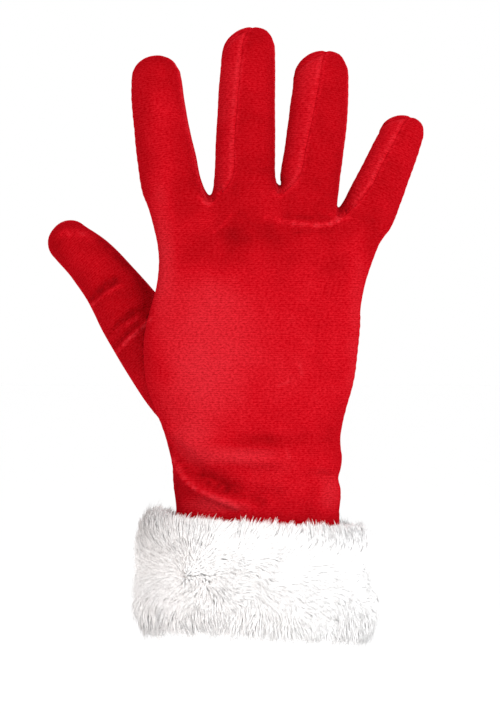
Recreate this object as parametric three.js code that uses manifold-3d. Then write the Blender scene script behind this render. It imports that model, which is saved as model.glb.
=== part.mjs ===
// A santa glove for the right hand, in the shape that it has when worn: stretch velvet panels sewn round
// the hand, with side strips between the fingers, a set-in thumb and a deep fur cuff. The glove is hollow
// and open at the wrist. Millimetres. +Z runs from the wrist to the fingertips, +X towards the little
// finger, and the back of the hand faces -Y. The origin is the middle of the wrist opening, at the hem.

import * as THREE from "three";
import { mergeVertices } from "three/addons/utils/BufferGeometryUtils.js";
import Module from "manifold-3d";

const wasm = await Module();
wasm.setup();
const { Manifold, Mesh } = wasm;

// Cloth
const WALL = 1.2; // thickness of the velvet
const SEAM_GAP = 0.3; // clear space between two panels along a seam

// Mesh density
const STRIP_COLUMNS = 5; // across one finger, on each face
const SIDE_COLUMNS = 3; // across a side strip
const THUMB_COLUMNS = 16;

// Sections of the hand from the hem to the knuckles: left and right are the outline seen from the back,
// edge is the depth of the two side edges, back and palm are how far each face stands out from the edges,
// and round is 1 for elliptical faces and lower for flatter ones.
const HAND = [
  { z: 0, left: -32, right: 32, edge: 0, back: 21, palm: 21, round: 0.85 },
  { z: 21, left: -32, right: 32, edge: 0, back: 21, palm: 21, round: 0.85 },
  { z: 41, left: -32, right: 32, edge: 0, back: 21, palm: 21, round: 0.85 },
  { z: 45, left: -31.6, right: 31.9, edge: 0, back: 21, palm: 21, round: 0.85 },
  { z: 49, left: -32, right: 32.3, edge: 0, back: 21, palm: 21, round: 0.85 },
  { z: 53, left: -32.6, right: 32.3, edge: 0, back: 21, palm: 20.8, round: 0.85 },
  { z: 57, left: -32.9, right: 31.5, edge: 0, back: 20.8, palm: 20.6, round: 0.84 },
  { z: 61, left: -33.1, right: 32.5, edge: 0, back: 20.5, palm: 20.4, round: 0.83 },
  { z: 65, left: -33.8, right: 32.9, edge: 0, back: 20.1, palm: 20.2, round: 0.82 },
  { z: 69, left: -34.8, right: 32.4, edge: 0, back: 19.6, palm: 20, round: 0.81 },
  { z: 73, left: -35.9, right: 32.3, edge: -0.2, back: 19, palm: 20, round: 0.8 },
  { z: 78, left: -37.6, right: 33.1, edge: -0.6, back: 18.2, palm: 20, round: 0.78 },
  { z: 84, left: -40, right: 34.6, edge: -1, back: 17.2, palm: 20, round: 0.76 },
  { z: 91, left: -42.5, right: 36.6, edge: -1.6, back: 15.9, palm: 19.4, round: 0.74 },
  { z: 99, left: -43.9, right: 38.2, edge: -2, back: 14.8, palm: 18.6, round: 0.72 },
  { z: 107, left: -44.3, right: 39.1, edge: -2, back: 14.1, palm: 17.6, round: 0.7 },
  { z: 115, left: -43.4, right: 39.8, edge: -1.6, back: 13.5, palm: 16.4, round: 0.67 },
  { z: 123, left: -41.5, right: 40.3, edge: -1, back: 12.9, palm: 15, round: 0.64 },
  { z: 131, left: -39.7, right: 42, edge: -0.4, back: 12.5, palm: 13.6, round: 0.61 },
  { z: 139, left: -39.1, right: 44.8, edge: 0, back: 12.2, palm: 12.4, round: 0.58 },
  { z: 147, left: -39.7, right: 47.8, edge: 0.2, back: 11.8, palm: 11.6, round: 0.56 },
];

// The row of finger roots above the hand's sections. Its height follows the webs between its two ends.
const ROOTS = {
  left: { x: -43.4, y: -0.6, z: 161 },
  right: { x: 52.6, y: 0.8, z: 153.4 },
  back: 11.2,
  palm: 10.6,
  round: 0.5,
};
const ROOT_VALLEY = 4.6; // how far the dip of a web's notch reaches to each side along the row
const ROOT_EASE = 0.035; // how much closer together the columns lie at the notches, as a share of the row

// Sections of each finger from its root, between the webs, to where the rounded tip starts. x, y and z
// place the middle, width and depth are half sizes.
const FINGERS = {
  index: [
    { x: -31, y: -0.6, z: 161, width: 12.2, depth: 10.6 },
    { x: -33.2, y: -0.8, z: 169.5, width: 11.8, depth: 10 },
    { x: -35.1, y: -0.6, z: 180, width: 11.4, depth: 9.7 },
    { x: -36.9, y: 0.4, z: 191, width: 10.7, depth: 9.4 },
    { x: -38.4, y: 2, z: 202, width: 10.3, depth: 9 },
    { x: -39, y: 3.3, z: 209.6, width: 9.8, depth: 8.4 },
  ],
  middle: [
    { x: -4.8, y: -2, z: 165, width: 13.1, depth: 11 },
    { x: -4.8, y: -2.2, z: 172, width: 11.9, depth: 10.2 },
    { x: -4.7, y: -2, z: 183, width: 11.5, depth: 9.9 },
    { x: -4.4, y: -1, z: 195, width: 11.2, depth: 9.6 },
    { x: -4, y: 0.8, z: 208, width: 10.8, depth: 9.2 },
    { x: -3.5, y: 2.8, z: 219.6, width: 10.3, depth: 8.6 },
  ],
  ring: [
    { x: 19.8, y: -1.2, z: 163, width: 12.2, depth: 10.8 },
    { x: 20.2, y: -1.4, z: 172.5, width: 11.6, depth: 10 },
    { x: 21.6, y: -1, z: 182, width: 11.4, depth: 9.7 },
    { x: 22.9, y: 0, z: 192, width: 11.3, depth: 9.4 },
    { x: 24, y: 1.8, z: 203, width: 11, depth: 9 },
    { x: 24.5, y: 3.2, z: 210.6, width: 10.6, depth: 8.5 },
  ],
  little: [
    { x: 42.2, y: 0.8, z: 158, width: 11.3, depth: 10 },
    { x: 46.2, y: 0.8, z: 167, width: 10.1, depth: 9.2 },
    { x: 48.8, y: 1.4, z: 173, width: 9.6, depth: 8.8 },
    { x: 51.4, y: 2.4, z: 179, width: 9.2, depth: 8.4 },
    { x: 53.6, y: 3.6, z: 184.2, width: 8.8, depth: 8 },
    { x: 55.2, y: 4.6, z: 188.4, width: 8.5, depth: 7.5 },
  ],
};
const FINGER_NAMES = Object.keys(FINGERS);
// The rounded tips: how far each stands beyond its last section, and how far its end lies towards +X
const TIPS = {
  index: { height: 10.2, shift: 0.2 },
  middle: { height: 11.2, shift: 2 },
  ring: { height: 11.2, shift: 1.4 },
  little: { height: 8.8, shift: 1.6 },
};
const TIP_ROUND = 0.8; // below 1, the tips are blunter than ellipsoids
const TIP_ANGLES = [30, 56, 76]; // degrees of latitude of the rings on a tip

// The seams of each finger as angles round it in degrees, from the middle of its back towards +X. The back
// panel's left seam wanders towards the middle of the finger, so that it has an angle at the root and one
// at the tip. A side without a side strip has one seam, at 90 degrees.
const SEAMS = {
  index: { backLeft: [-90, -90], backRight: [66, 66], palmRight: 126, palmLeft: -90 },
  middle: { backLeft: [-29, -15], backRight: [78, 78], palmRight: 128, palmLeft: -98 },
  ring: { backLeft: [-28, -2], backRight: [78, 78], palmRight: 128, palmLeft: -98 },
  little: { backLeft: [-22, -6], backRight: [90, 90], palmRight: 90, palmLeft: -98 },
};

// The web between two fingers: where the back panel and the palm panel each have their notch.
const WEBS = [
  { name: "index_middle", x: -18.6, backY: -9, backZ: 163.2, palmY: 8.6, palmZ: 165.4 },
  { name: "middle_ring", x: 8.6, backY: -9.8, backZ: 166.4, palmY: 8.4, palmZ: 169.6 },
  { name: "ring_little", x: 31.2, backY: -8.2, backZ: 157, palmY: 8.6, palmZ: 161.4 },
];
const WEB_ARCH = 1.6; // how far the middle of a web stands above its two edges

// Sections of the thumb from its root, inside the hand, to where the rounded tip starts.
const THUMB = [
  { x: -23, y: 10, z: 80, width: 12.6, depth: 10.6 },
  { x: -30, y: 11, z: 91.7, width: 14, depth: 11.4 },
  { x: -38.4, y: 12.6, z: 104.4, width: 14, depth: 11.6 },
  { x: -48.2, y: 15.4, z: 118.8, width: 13, depth: 11 },
  { x: -57.6, y: 18.6, z: 132.4, width: 11, depth: 10 },
  { x: -65.4, y: 21.6, z: 141.6, width: 9.9, depth: 9 },
  { x: -73, y: 24.4, z: 148.2, width: 8.7, depth: 8 },
];
const THUMB_TIP = { height: 8.4, shift: 0 };

// Mounds, folds and dents of the worn cloth. Each follows a path of [x, z] points on one face, with a
// Gaussian section of its width, and stands out of (or, below zero, into) the face by its height.
const RELIEF = [
  { name: "ball of the thumb", face: "palm", path: [[-16, 84], [-36, 107]], width: 13, height: 8 },
  { name: "heel of the hand", face: "palm", path: [[21, 78], [26, 112]], width: 13, height: 3.2 },
  { name: "hollow of the palm", face: "palm", path: [[2, 98], [5, 126]], width: 15, height: -3.2 },
  { name: "finger pads", face: "palm", path: [[-26, 148], [8, 152], [40, 145]], width: 8, height: 1.4 },
  { name: "index knuckle", face: "back", path: [[-29, 149], [-31, 153]], width: 8, height: 0.9 },
  { name: "middle knuckle", face: "back", path: [[-5, 152], [-5, 157]], width: 8, height: 1.2 },
  { name: "ring knuckle", face: "back", path: [[18, 149], [19, 154]], width: 8, height: 0.8 },
  { name: "little knuckle", face: "back", path: [[37, 141], [40, 146]], width: 7, height: 0.8 },
  { name: "web fold", face: "back", path: [[13, 156.5], [22, 153.8], [31, 155.8]], width: 2.6, height: 1 },
  {
    name: "wrist fold",
    face: "back",
    path: [[-36, 75], [-32, 63], [-19, 51.5], [-6, 49.5]],
    width: 3.6,
    height: 1.8,
  },
  {
    name: "wrist valley",
    face: "back",
    path: [[-33, 70], [-23, 60.5], [-12, 54], [7, 51]],
    width: 3.6,
    height: -2,
  },
  { name: "hand fold", face: "back", path: [[-27, 72], [-14, 65.5], [6, 65]], width: 4, height: 1.4 },
  { name: "hand valley", face: "back", path: [[-7, 71.5], [26, 70]], width: 4, height: -1.1 },
  { name: "outer wrist dent", face: "back", path: [[20, 58], [33, 57]], width: 2.8, height: -1 },
  { name: "palm crease", face: "palm", path: [[-28, 62], [0, 58], [28, 60]], width: 3.6, height: -1.3 },
  { name: "palm wrist fold", face: "palm", path: [[-16, 69], [26, 67]], width: 4, height: 0.9 },
];
const THUMB_RELIEF = [
  { name: "thumb crease", face: "back", path: [[-66, 125], [-52, 136]], width: 3, height: -1 },
  { name: "thumb root crease", face: "back", path: [[-58, 110], [-43, 122]], width: 3.2, height: -1.4 },
  { name: "thumb root fold", face: "back", path: [[-56, 106], [-43, 116]], width: 3, height: 1 },
];
const FACE_SIGN = { back: -1, palm: 1 }; // the sign of y that each face looks to
const FACING = [0.25, 0.75]; // the y of the normals between which a face's relief fades in

// The fur cuff: rows of locks on a band whose section is given from its hem round its outside to its top
// edge, out being the distance from the band's inner face.
const CUFF_GAP = 0.4; // between the glove's wrist and the band's inner face
const CUFF_COLUMNS = 40;
const CUFF_SLOPE = 0.055; // the cuff sits askew, lower towards +X
const CUFF_SECTION = [
  { z: 0.6, out: 0 },
  { z: -1.4, out: 3.4 },
  { z: 0.4, out: 7.6 },
  { z: 7, out: 10.2 },
  { z: 20.5, out: 10.6 },
  { z: 34, out: 10.2 },
  { z: 40.4, out: 7.4 },
  { z: 42, out: 3.4 },
  { z: 40.6, out: 0 },
];
const LOCK_ROWS = [
  { z: 1.2, out: 6, tilt: -64, length: 4.4, radius: 4 },
  { z: 5.4, out: 8.6, tilt: -26, length: 4.8, radius: 6.4 },
  { z: 15, out: 9.8, tilt: -8, length: 4.6, radius: 6.6 },
  { z: 25, out: 9.8, tilt: 8, length: 4.6, radius: 6.6 },
  { z: 34.6, out: 8.8, tilt: 28, length: 4.8, radius: 6.4 },
  { z: 39.6, out: 6.2, tilt: 66, length: 4.6, radius: 4 },
];
const LOCKS_PER_ROW = 17;
const LOCK_SIDES = 4;
const LOCK_LEAN = 10; // the most that a lock leans sideways, in degrees
const LOCK_ROOT = 2; // how far a lock starts inside the band

const VELVET = { color: 0xb5101c, roughness: 0.62, metalness: 0 };
const FUR = { color: 0xf4f1ee, roughness: 0.95, metalness: 0 };

const radians = THREE.MathUtils.degToRad;
const mix = THREE.MathUtils.lerp;
const X_AXIS = new THREE.Vector3(1, 0, 0);

// Rings across a limb at its sections, then the smaller rings of its rounded tip, and the tip itself
function limb(sections, tipForm) {
  const middles = sections.map((s) => new THREE.Vector3(s.x, s.y, s.z));
  const line = new THREE.CatmullRomCurve3(middles);
  const ringAt = (centre, along, width, depth) => {
    const across = X_AXIS.clone().addScaledVector(along, -along.x).normalize();
    return { centre, along, across, back: across.clone().cross(along), width, depth };
  };
  const rings = sections.map((s, i) =>
    ringAt(middles[i], line.getTangent(i / (sections.length - 1)), s.width, s.depth),
  );
  const last = rings.at(-1);
  const tipPoint = (rise) =>
    last.centre
      .clone()
      .addScaledVector(last.along, tipForm.height * rise)
      .addScaledVector(last.across, tipForm.shift * rise ** 2);
  const tipRings = TIP_ANGLES.map((angle) => {
    const size = Math.cos(radians(angle)) ** TIP_ROUND;
    return ringAt(tipPoint(Math.sin(radians(angle))), last.along, last.width * size, last.depth * size);
  });
  return { rings: [...rings, ...tipRings], tip: tipPoint(1) };
}

function ringPoint(ring, degrees) {
  const a = radians(degrees);
  return ring.centre
    .clone()
    .addScaledVector(ring.across, ring.width * Math.sin(a))
    .addScaledVector(ring.back, ring.depth * Math.cos(a));
}

// Points along a smooth line through the given points, with a number of steps for each interval
function smoothLine(points, steps) {
  const line = new THREE.CatmullRomCurve3(points);
  const last = points.length - 1;
  const out = [points[0].clone()];
  for (let i = 0; i < last; i++) {
    for (let k = 1; k <= steps[i]; k++) out.push(line.getPoint((i + k / steps[i]) / last));
  }
  return out;
}

const limbs = FINGER_NAMES.map((name) => limb(FINGERS[name], TIPS[name]));
const SECTION_COUNT = FINGERS.index.length;
const RING_COUNT = limbs[0].rings.length;
const STRIP_END = RING_COUNT - 2; // the tip ring where a side strip comes to its point
const TAPER_START = SECTION_COUNT - 2; // the section from which it narrows
// Steps from one ring of a finger to the next, root first, and last to the tip
const FINGER_STEPS = Array.from({ length: RING_COUNT }, (_, i) => (i < SECTION_COUNT - 1 ? 2 : 1));
const HAND_STEPS = HAND.map((_, i) => (i === HAND.length - 1 ? 3 : 1));

// The hand's columns keep the angle that they have round the row of finger roots
const SPREAD = { middle: (ROOTS.left.x + ROOTS.right.x) / 2, half: (ROOTS.right.x - ROOTS.left.x) / 2 };
const angleAt = (x) =>
  THREE.MathUtils.radToDeg(Math.asin(THREE.MathUtils.clamp((x - SPREAD.middle) / SPREAD.half, -1, 1)));

function handPoint(section, degrees, face) {
  const a = radians(degrees);
  const half = (section.right - section.left) / 2;
  const depth = section[face] * Math.max(Math.cos(a), 0) ** section.round;
  return new THREE.Vector3(
    section.left + half + half * Math.sin(a),
    section.edge + FACE_SIGN[face] * depth,
    section.z,
  );
}

const notch = (web, face) => new THREE.Vector3(web.x, web[face + "Y"], web[face + "Z"]);

// The angle of a finger's seam at one of its rings. Near the tip the side strips narrow to a point, and
// the palm panel reaches round to the back panel.
function seamAngle(finger, ring, face, towards) {
  const seams = SEAMS[FINGER_NAMES[finger]];
  const share = Math.min(ring / (SECTION_COUNT - 1), 1);
  const back = towards === "Left" ? mix(...seams.backLeft, share) : mix(...seams.backRight, share);
  if (face === "back") return back;
  const taper = THREE.MathUtils.clamp((ring - TAPER_START) / (STRIP_END - TAPER_START), 0, 1);
  return mix(seams["palm" + towards], back, taper);
}

// The angle round a finger of a column of its back or palm strip, at one of its rings
function stripAngle(finger, ring, column, face) {
  const left = seamAngle(finger, ring, face, "Left");
  const right = seamAngle(finger, ring, face, "Right");
  const share = column / STRIP_COLUMNS;
  return face === "back" ? mix(left, right, share) : mix(360 + left, right, share);
}

// How far out the row of roots would lie at x, if it had no dips at the webs
function rootLevel(x, face) {
  const a = radians(angleAt(x));
  const edge = mix(ROOTS.left.y, ROOTS.right.y, (x - ROOTS.left.x) / (ROOTS.right.x - ROOTS.left.x));
  return edge + FACE_SIGN[face] * ROOTS[face] * Math.max(Math.cos(a), 0) ** ROOTS.round;
}

// A point of the row where the hand's face meets a finger's root, between two notches or one and the side
function rootPoint(finger, column, face) {
  const ends = [
    finger === 0 ? new THREE.Vector3(...Object.values(ROOTS.left)) : notch(WEBS[finger - 1], face),
    finger === 3 ? new THREE.Vector3(...Object.values(ROOTS.right)) : notch(WEBS[finger], face),
  ];
  const share = column / STRIP_COLUMNS;
  const eased = share - ROOT_EASE * Math.sin(2 * Math.PI * share);
  const point = ends[0].clone().lerp(ends[1], eased);
  const dip = ends.reduce((sum, end) => {
    const depth = end.y - rootLevel(end.x, face);
    return sum + depth * Math.exp(-(((point.x - end.x) / ROOT_VALLEY) ** 2));
  }, 0);
  return point.setY(rootLevel(point.x, face) + dip);
}

// A column of the glove from the hem over one face and up a finger to its tip
function fullColumn(finger, column, face) {
  const { rings, tip } = limbs[finger];
  const root = rootPoint(finger, column, face);
  const edge = (finger === 0 && column === 0) || (finger === 3 && column === STRIP_COLUMNS);
  const angle = edge ? 90 * Math.sign(column - 1) : angleAt(root.x);
  const points = [...HAND.map((s) => handPoint(s, angle, face)), root];
  for (let r = 1; r < RING_COUNT; r++) {
    points.push(ringPoint(rings[r], stripAngle(finger, r, column, face)));
  }
  points.push(tip.clone());
  return smoothLine(points, [...HAND_STEPS, ...FINGER_STEPS]);
}

// A column of the hand alone, which ends in the notch between two fingers
function notchColumn(web, face) {
  const end = notch(WEBS[web], face);
  return smoothLine([...HAND.map((s) => handPoint(s, angleAt(end.x), face)), end], HAND_STEPS);
}

// A line down the side of one finger, through the web and up the side of the next. share is 0 along the
// palm panel's edge and 1 along the back panel's.
function webLine(web, share) {
  const side = (finger, towards) => {
    const { rings, tip } = limbs[finger];
    const points = [];
    for (let r = 1; r < RING_COUNT; r++) {
      const palm = seamAngle(finger, r, "palm", towards);
      points.push(ringPoint(rings[r], mix(palm, seamAngle(finger, r, "back", towards), share)));
    }
    return [...points, tip.clone()];
  };
  const saddle = notch(WEBS[web], "palm").lerp(notch(WEBS[web], "back"), share);
  saddle.z += WEB_ARCH * Math.sin(Math.PI * share);
  return smoothLine(
    [...side(web, "Right").reverse(), saddle, ...side(web + 1, "Left")],
    [...FINGER_STEPS.toReversed(), ...FINGER_STEPS],
  );
}

const HAND_ROWS = 1 + HAND_STEPS.reduce((a, b) => a + b);
const FINGER_ROWS = 1 + FINGER_STEPS.reduce((a, b) => a + b);
// Rows past a side strip's point
const STRIP_TIP_ROWS = FINGER_STEPS.slice(STRIP_END).reduce((a, b) => a + b);

// Every point column of one face: below the roots for the hand's grid, above them for a finger's
function faceColumns(finger, column, face) {
  const web = column === 0 ? finger - 1 : finger;
  const onNotch = (column === 0 && finger > 0) || (column === STRIP_COLUMNS && finger < 3);
  if (!onNotch) {
    const all = fullColumn(finger, column, face);
    return { hand: all.slice(0, HAND_ROWS), finger: all.slice(HAND_ROWS - 1) };
  }
  const line = webLine(web, face === "back" ? 1 : 0);
  const upwards = column === 0 ? line.slice(FINGER_ROWS - 1) : line.slice(0, FINGER_ROWS).reverse();
  return { hand: notchColumn(web, face), finger: upwards };
}

// A skin is an outer surface of four-cornered faces, each with the name of the panel that it belongs to.
// Corners that lie at one place share a vertex.
function skinOf(faces) {
  const loose = new THREE.BufferGeometry();
  const places = faces.flatMap((f) => f.corners.flatMap((p) => [...p]));
  loose.setAttribute("position", new THREE.Float32BufferAttribute(places, 3));
  loose.setIndex(faces.flatMap((_, i) => [0, 1, 2, 3].map((k) => 4 * i + k)));
  const merged = mergeVertices(loose, 1e-3);
  const index = merged.index.array;
  return {
    places: vectorsOf(merged.attributes.position),
    faces: faces.map((f, i) => ({ piece: f.piece, corners: [...index.slice(4 * i, 4 * i + 4)] })),
  };
}

// Faces between neighbouring columns of points, which run from left to right seen from outside
function gridFaces(piece, columns) {
  const faces = [];
  for (let c = 0; c + 1 < columns.length; c++) {
    const [left, right] = [columns[c], columns[c + 1]];
    for (let r = 0; r + 1 < left.length; r++) {
      faces.push({ piece, corners: [left[r], right[r], right[r + 1], left[r + 1]] });
    }
  }
  return faces;
}

function makeGloveSkin() {
  const faces = [];
  for (const face of ["back", "palm"]) {
    const add = (columns) =>
      faces.push(...gridFaces(face + "_panel", face === "back" ? columns : columns.toReversed()));
    for (let finger = 0; finger < 4; finger++) {
      const columns = Array.from({ length: STRIP_COLUMNS + 1 }, (_, c) => faceColumns(finger, c, face));
      add(columns.map((c) => c.hand));
      add(columns.map((c) => c.finger));
    }
  }
  WEBS.forEach((web, i) => {
    const lines = Array.from({ length: SIDE_COLUMNS + 1 }, (_, c) => {
      const line = webLine(i, c / SIDE_COLUMNS);
      return line.slice(STRIP_TIP_ROWS, line.length - STRIP_TIP_ROWS);
    });
    faces.push(...gridFaces("fourchette_" + web.name, lines));
  });
  return skinOf(faces);
}

function vectorsOf(attribute) {
  const vectorAt = (_, i) => new THREE.Vector3().fromBufferAttribute(attribute, i);
  return Array.from({ length: attribute.count }, vectorAt);
}

// How far the folds and mounds in a table lift a point of the surface
function reliefAt(point, normal, table) {
  const place = new THREE.Vector3(point.x, 0, point.z);
  const near = new THREE.Vector3();
  let lift = 0;
  for (const row of table) {
    const facing = THREE.MathUtils.smoothstep(normal.y * FACE_SIGN[row.face], ...FACING);
    const corners = row.path.map(([x, z]) => new THREE.Vector3(x, 0, z));
    const distances = corners.slice(1).map((end, i) =>
      new THREE.Line3(corners[i], end).closestPointToPoint(place, true, near).distanceTo(place),
    );
    lift += facing * row.height * Math.exp(-((Math.min(...distances) / row.width) ** 2));
  }
  return lift;
}

// Splits each face of a skin along the diagonal that leaves it flatter, and finds its vertices' normals
function finishSkin(skin) {
  const { places } = skin;
  const unit = (t) =>
    new THREE.Triangle(...t.map((v) => places[v])).getNormal(new THREE.Vector3());
  skin.triangles = skin.faces.flatMap(({ piece, corners: [a, b, c, d] }) => {
    const splits = [
      [[a, b, c], [a, c, d]],
      [[b, c, d], [b, d, a]],
    ];
    const whole = splits.map((pair) => pair.filter((t) => new Set(t).size === 3));
    const flatness = whole.map((pair) => (pair.length < 2 ? 2 : unit(pair[0]).dot(unit(pair[1]))));
    return whole[flatness[1] > flatness[0] ? 1 : 0].map((corners) => ({ piece, corners }));
  });
  const geometry = new THREE.BufferGeometry().setFromPoints(places);
  geometry.setIndex(skin.triangles.flatMap((t) => t.corners));
  geometry.computeVertexNormals();
  skin.normals = vectorsOf(geometry.attributes.normal);
  return skin;
}

function applyRelief(skin, table) {
  finishSkin(skin);
  skin.places.forEach((p, i) => p.addScaledVector(skin.normals[i], reliefAt(p, skin.normals[i], table)));
  return finishSkin(skin);
}

// Directed edges of some triangles that have no neighbour among them, as [from, to] pairs
function openEdges(triangles) {
  const edges = new Map();
  for (const [a, b, c] of triangles) {
    for (const [from, to] of [[a, b], [b, c], [c, a]]) edges.set(from + "_" + to, [from, to]);
  }
  return [...edges.values()].filter(([from, to]) => !edges.has(to + "_" + from));
}

const trianglesOf = (skin, piece) =>
  skin.triangles.filter((t) => !piece || t.piece === piece).map((t) => t.corners);

function solid(points, triangles) {
  const vertProperties = new Float32Array(points.flatMap((p) => [p.x, p.y, p.z]));
  const triVerts = new Uint32Array(triangles.flat());
  return new Manifold(new Mesh({ numProp: 3, vertProperties, triVerts }));
}

// How far each vertex on a panel's seams moves into the panel, so that half of the seam gap is left
function seamInsets(skin, triangles, hem) {
  const inward = new Map();
  for (const [a, b] of openEdges(triangles)) {
    if (hem.has(a + "_" + b)) continue;
    const along = skin.places[b].clone().sub(skin.places[a]);
    for (const v of [a, b]) {
      const side = skin.normals[v].clone().cross(along).normalize();
      inward.set(v, [...(inward.get(v) ?? []), side]);
    }
  }
  const insets = new Map();
  for (const [v, sides] of inward) {
    const sum = sides.reduce((total, side) => total.add(side), new THREE.Vector3());
    const mitre = Math.max(sum.length() / sides.length, 0.4); // cosine of half the corner
    insets.set(v, sum.normalize().multiplyScalar(SEAM_GAP / 2 / mitre));
  }
  return insets;
}

// A panel of cloth: its stretch of the skin, the same stretch one wall further in, and the edges between
function panel(skin, piece) {
  const triangles = trianglesOf(skin, piece);
  const hem = new Set(openEdges(trianglesOf(skin)).map(([a, b]) => a + "_" + b));
  const insets = seamInsets(skin, triangles, hem);
  const used = [...new Set(triangles.flat())];
  const place = new Map(used.map((v, i) => [v, i]));
  const outer = used.map((v) => skin.places[v].clone().add(insets.get(v) ?? new THREE.Vector3()));
  const inner = used.map((v, i) => outer[i].clone().addScaledVector(skin.normals[v], -WALL));
  const n = used.length;
  const faces = [];
  for (const [a, b, c] of triangles.map((t) => t.map((v) => place.get(v)))) {
    faces.push([a, b, c], [n + a, n + c, n + b]);
  }
  for (const [v, w] of openEdges(triangles)) {
    const [a, b] = [place.get(v), place.get(w)];
    // Neighbours share the split of a seam's faces, so that a twisted seam keeps its gap
    if (v < w) faces.push([b, a, n + a], [b, n + a, n + b]);
    else faces.push([b, a, n + b], [a, n + a, n + b]);
  }
  return solid([...outer, ...inner], faces);
}

// The solid inside a skin that is moved out by grow, closed flat across its open end
function filled(skin, grow) {
  const triangles = trianglesOf(skin);
  const points = skin.places.map((p, i) => p.clone().addScaledVector(skin.normals[i], grow));
  const rim = openEdges(triangles);
  const middle = rim.reduce((sum, [a]) => sum.add(points[a]), new THREE.Vector3());
  points.push(middle.divideScalar(rim.length));
  const hub = points.length - 1;
  return solid(points, [...triangles, ...rim.map(([a, b]) => [b, a, hub])]);
}

function makeThumbSkin() {
  const { rings, tip } = limb(THUMB, THUMB_TIP);
  const steps = rings.map((_, i) => (i < THUMB.length - 1 ? 2 : 1));
  const columns = Array.from({ length: THUMB_COLUMNS + 1 }, (_, c) => {
    const angle = (360 * (c % THUMB_COLUMNS)) / THUMB_COLUMNS;
    return smoothLine([...rings.map((ring) => ringPoint(ring, angle)), tip.clone()], steps);
  });
  return skinOf(gridFaces("thumb", columns));
}

// One step of the way round the cuff's band: where its inner face is, and which way is out
function cuffPlace(turn) {
  const wrist = HAND[0];
  const a = 2 * Math.PI * turn;
  const bulge = (value) => Math.sign(value) * Math.abs(value) ** wrist.round;
  const reach = { x: wrist.right + CUFF_GAP, y: wrist.back + CUFF_GAP };
  const inner = new THREE.Vector3(reach.x * Math.sin(a), -reach.y * bulge(Math.cos(a)), 0);
  const out = new THREE.Vector3(Math.sin(a) / reach.x, -Math.cos(a) / reach.y, 0).normalize();
  return { inner, out };
}

function makeCuff() {
  const points = [];
  const triangles = [];
  const rows = CUFF_SECTION.length;
  for (let c = 0; c < CUFF_COLUMNS; c++) {
    const { inner, out } = cuffPlace(c / CUFF_COLUMNS);
    for (const row of CUFF_SECTION) {
      const point = inner.clone().addScaledVector(out, row.out);
      points.push(point.setZ(row.z - CUFF_SLOPE * point.x));
    }
    for (let r = 0; r < rows; r++) {
      const [a, b] = [c * rows + r, c * rows + ((r + 1) % rows)];
      const shift = (v) => (v + rows) % (CUFF_COLUMNS * rows);
      triangles.push([a, shift(a), shift(b)], [a, shift(b), b]);
    }
  }
  const locks = LOCK_ROWS.flatMap((row, r) => {
    const turnAt = (k) => (k + (r % 2) / 2) / LOCKS_PER_ROW;
    return Array.from({ length: LOCKS_PER_ROW }, (_, k) => makeLock(row, turnAt(k), k));
  });
  return Manifold.union([solid(points, triangles), ...locks]);
}

// A lock of fur: a pointed spike that leans up or down by its row's tilt and a little to one side
function makeLock(row, turn, index) {
  const { inner, out } = cuffPlace(turn);
  const lean = LOCK_LEAN * Math.sin(2.4 * index + row.z); // uneven from lock to lock
  const sideways = new THREE.Vector3(-out.y, out.x, 0);
  const tilt = radians(row.tilt);
  const direction = out
    .clone()
    .multiplyScalar(Math.cos(tilt))
    .addScaledVector(sideways, Math.sin(radians(lean)))
    .setZ(Math.sin(tilt))
    .normalize();
  const height = row.length + LOCK_ROOT;
  const base = inner.clone().addScaledVector(out, row.out);
  base.setZ(row.z - CUFF_SLOPE * base.x).addScaledVector(direction, -LOCK_ROOT);
  const cone = new THREE.ConeGeometry(row.radius, height, LOCK_SIDES)
    .translate(0, height / 2, 0)
    .applyQuaternion(new THREE.Quaternion().setFromUnitVectors(new THREE.Vector3(0, 1, 0), direction))
    .translate(base.x, base.y, base.z);
  return fromGeometry(cone);
}

function fromGeometry(geometry) {
  geometry.deleteAttribute("normal").deleteAttribute("uv");
  const merged = mergeVertices(geometry, 1e-4);
  const vertProperties = merged.attributes.position.array;
  return new Manifold(new Mesh({ numProp: 3, vertProperties, triVerts: merged.index.array }));
}

function toMesh(name, shape, material) {
  const made = shape.getMesh();
  const geometry = new THREE.BufferGeometry();
  geometry.setAttribute("position", new THREE.BufferAttribute(made.vertProperties, 3));
  geometry.setIndex(new THREE.BufferAttribute(made.triVerts, 1));
  geometry.computeVertexNormals();
  const mesh = new THREE.Mesh(geometry, new THREE.MeshStandardMaterial({ name, ...material }));
  mesh.name = name;
  return mesh;
}

const gloveSkin = applyRelief(makeGloveSkin(), RELIEF);
const thumbSkin = applyRelief(makeThumbSkin(), THUMB_RELIEF);
const thumbHole = filled(thumbSkin, -WALL);
const thumb = panel(thumbSkin, "thumb").subtract(filled(gloveSkin, SEAM_GAP));

const glove = new THREE.Group();
glove.name = "santa_glove";
glove.add(toMesh("back_panel", panel(gloveSkin, "back_panel"), VELVET));
glove.add(toMesh("palm_panel", panel(gloveSkin, "palm_panel").subtract(thumbHole), VELVET));
for (const web of WEBS) {
  const name = "fourchette_" + web.name;
  glove.add(toMesh(name, panel(gloveSkin, name), VELVET));
}
glove.add(toMesh("thumb", thumb, VELVET));
glove.add(toMesh("fur_cuff", makeCuff(), FUR));

export default glove;
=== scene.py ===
"""A right-hand santa glove in stretch velvet with a deep plush cuff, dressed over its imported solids.

The tables are millimetres in the row's frame: +Z runs to the fingertips, +X to the little finger, and the
back of the hand faces -Y. MM turns them into Blender's metres.
"""

from collections import namedtuple

import bpy
import numpy as np
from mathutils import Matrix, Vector, kdtree, noise
from mathutils.bvhtree import BVHTree


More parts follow.
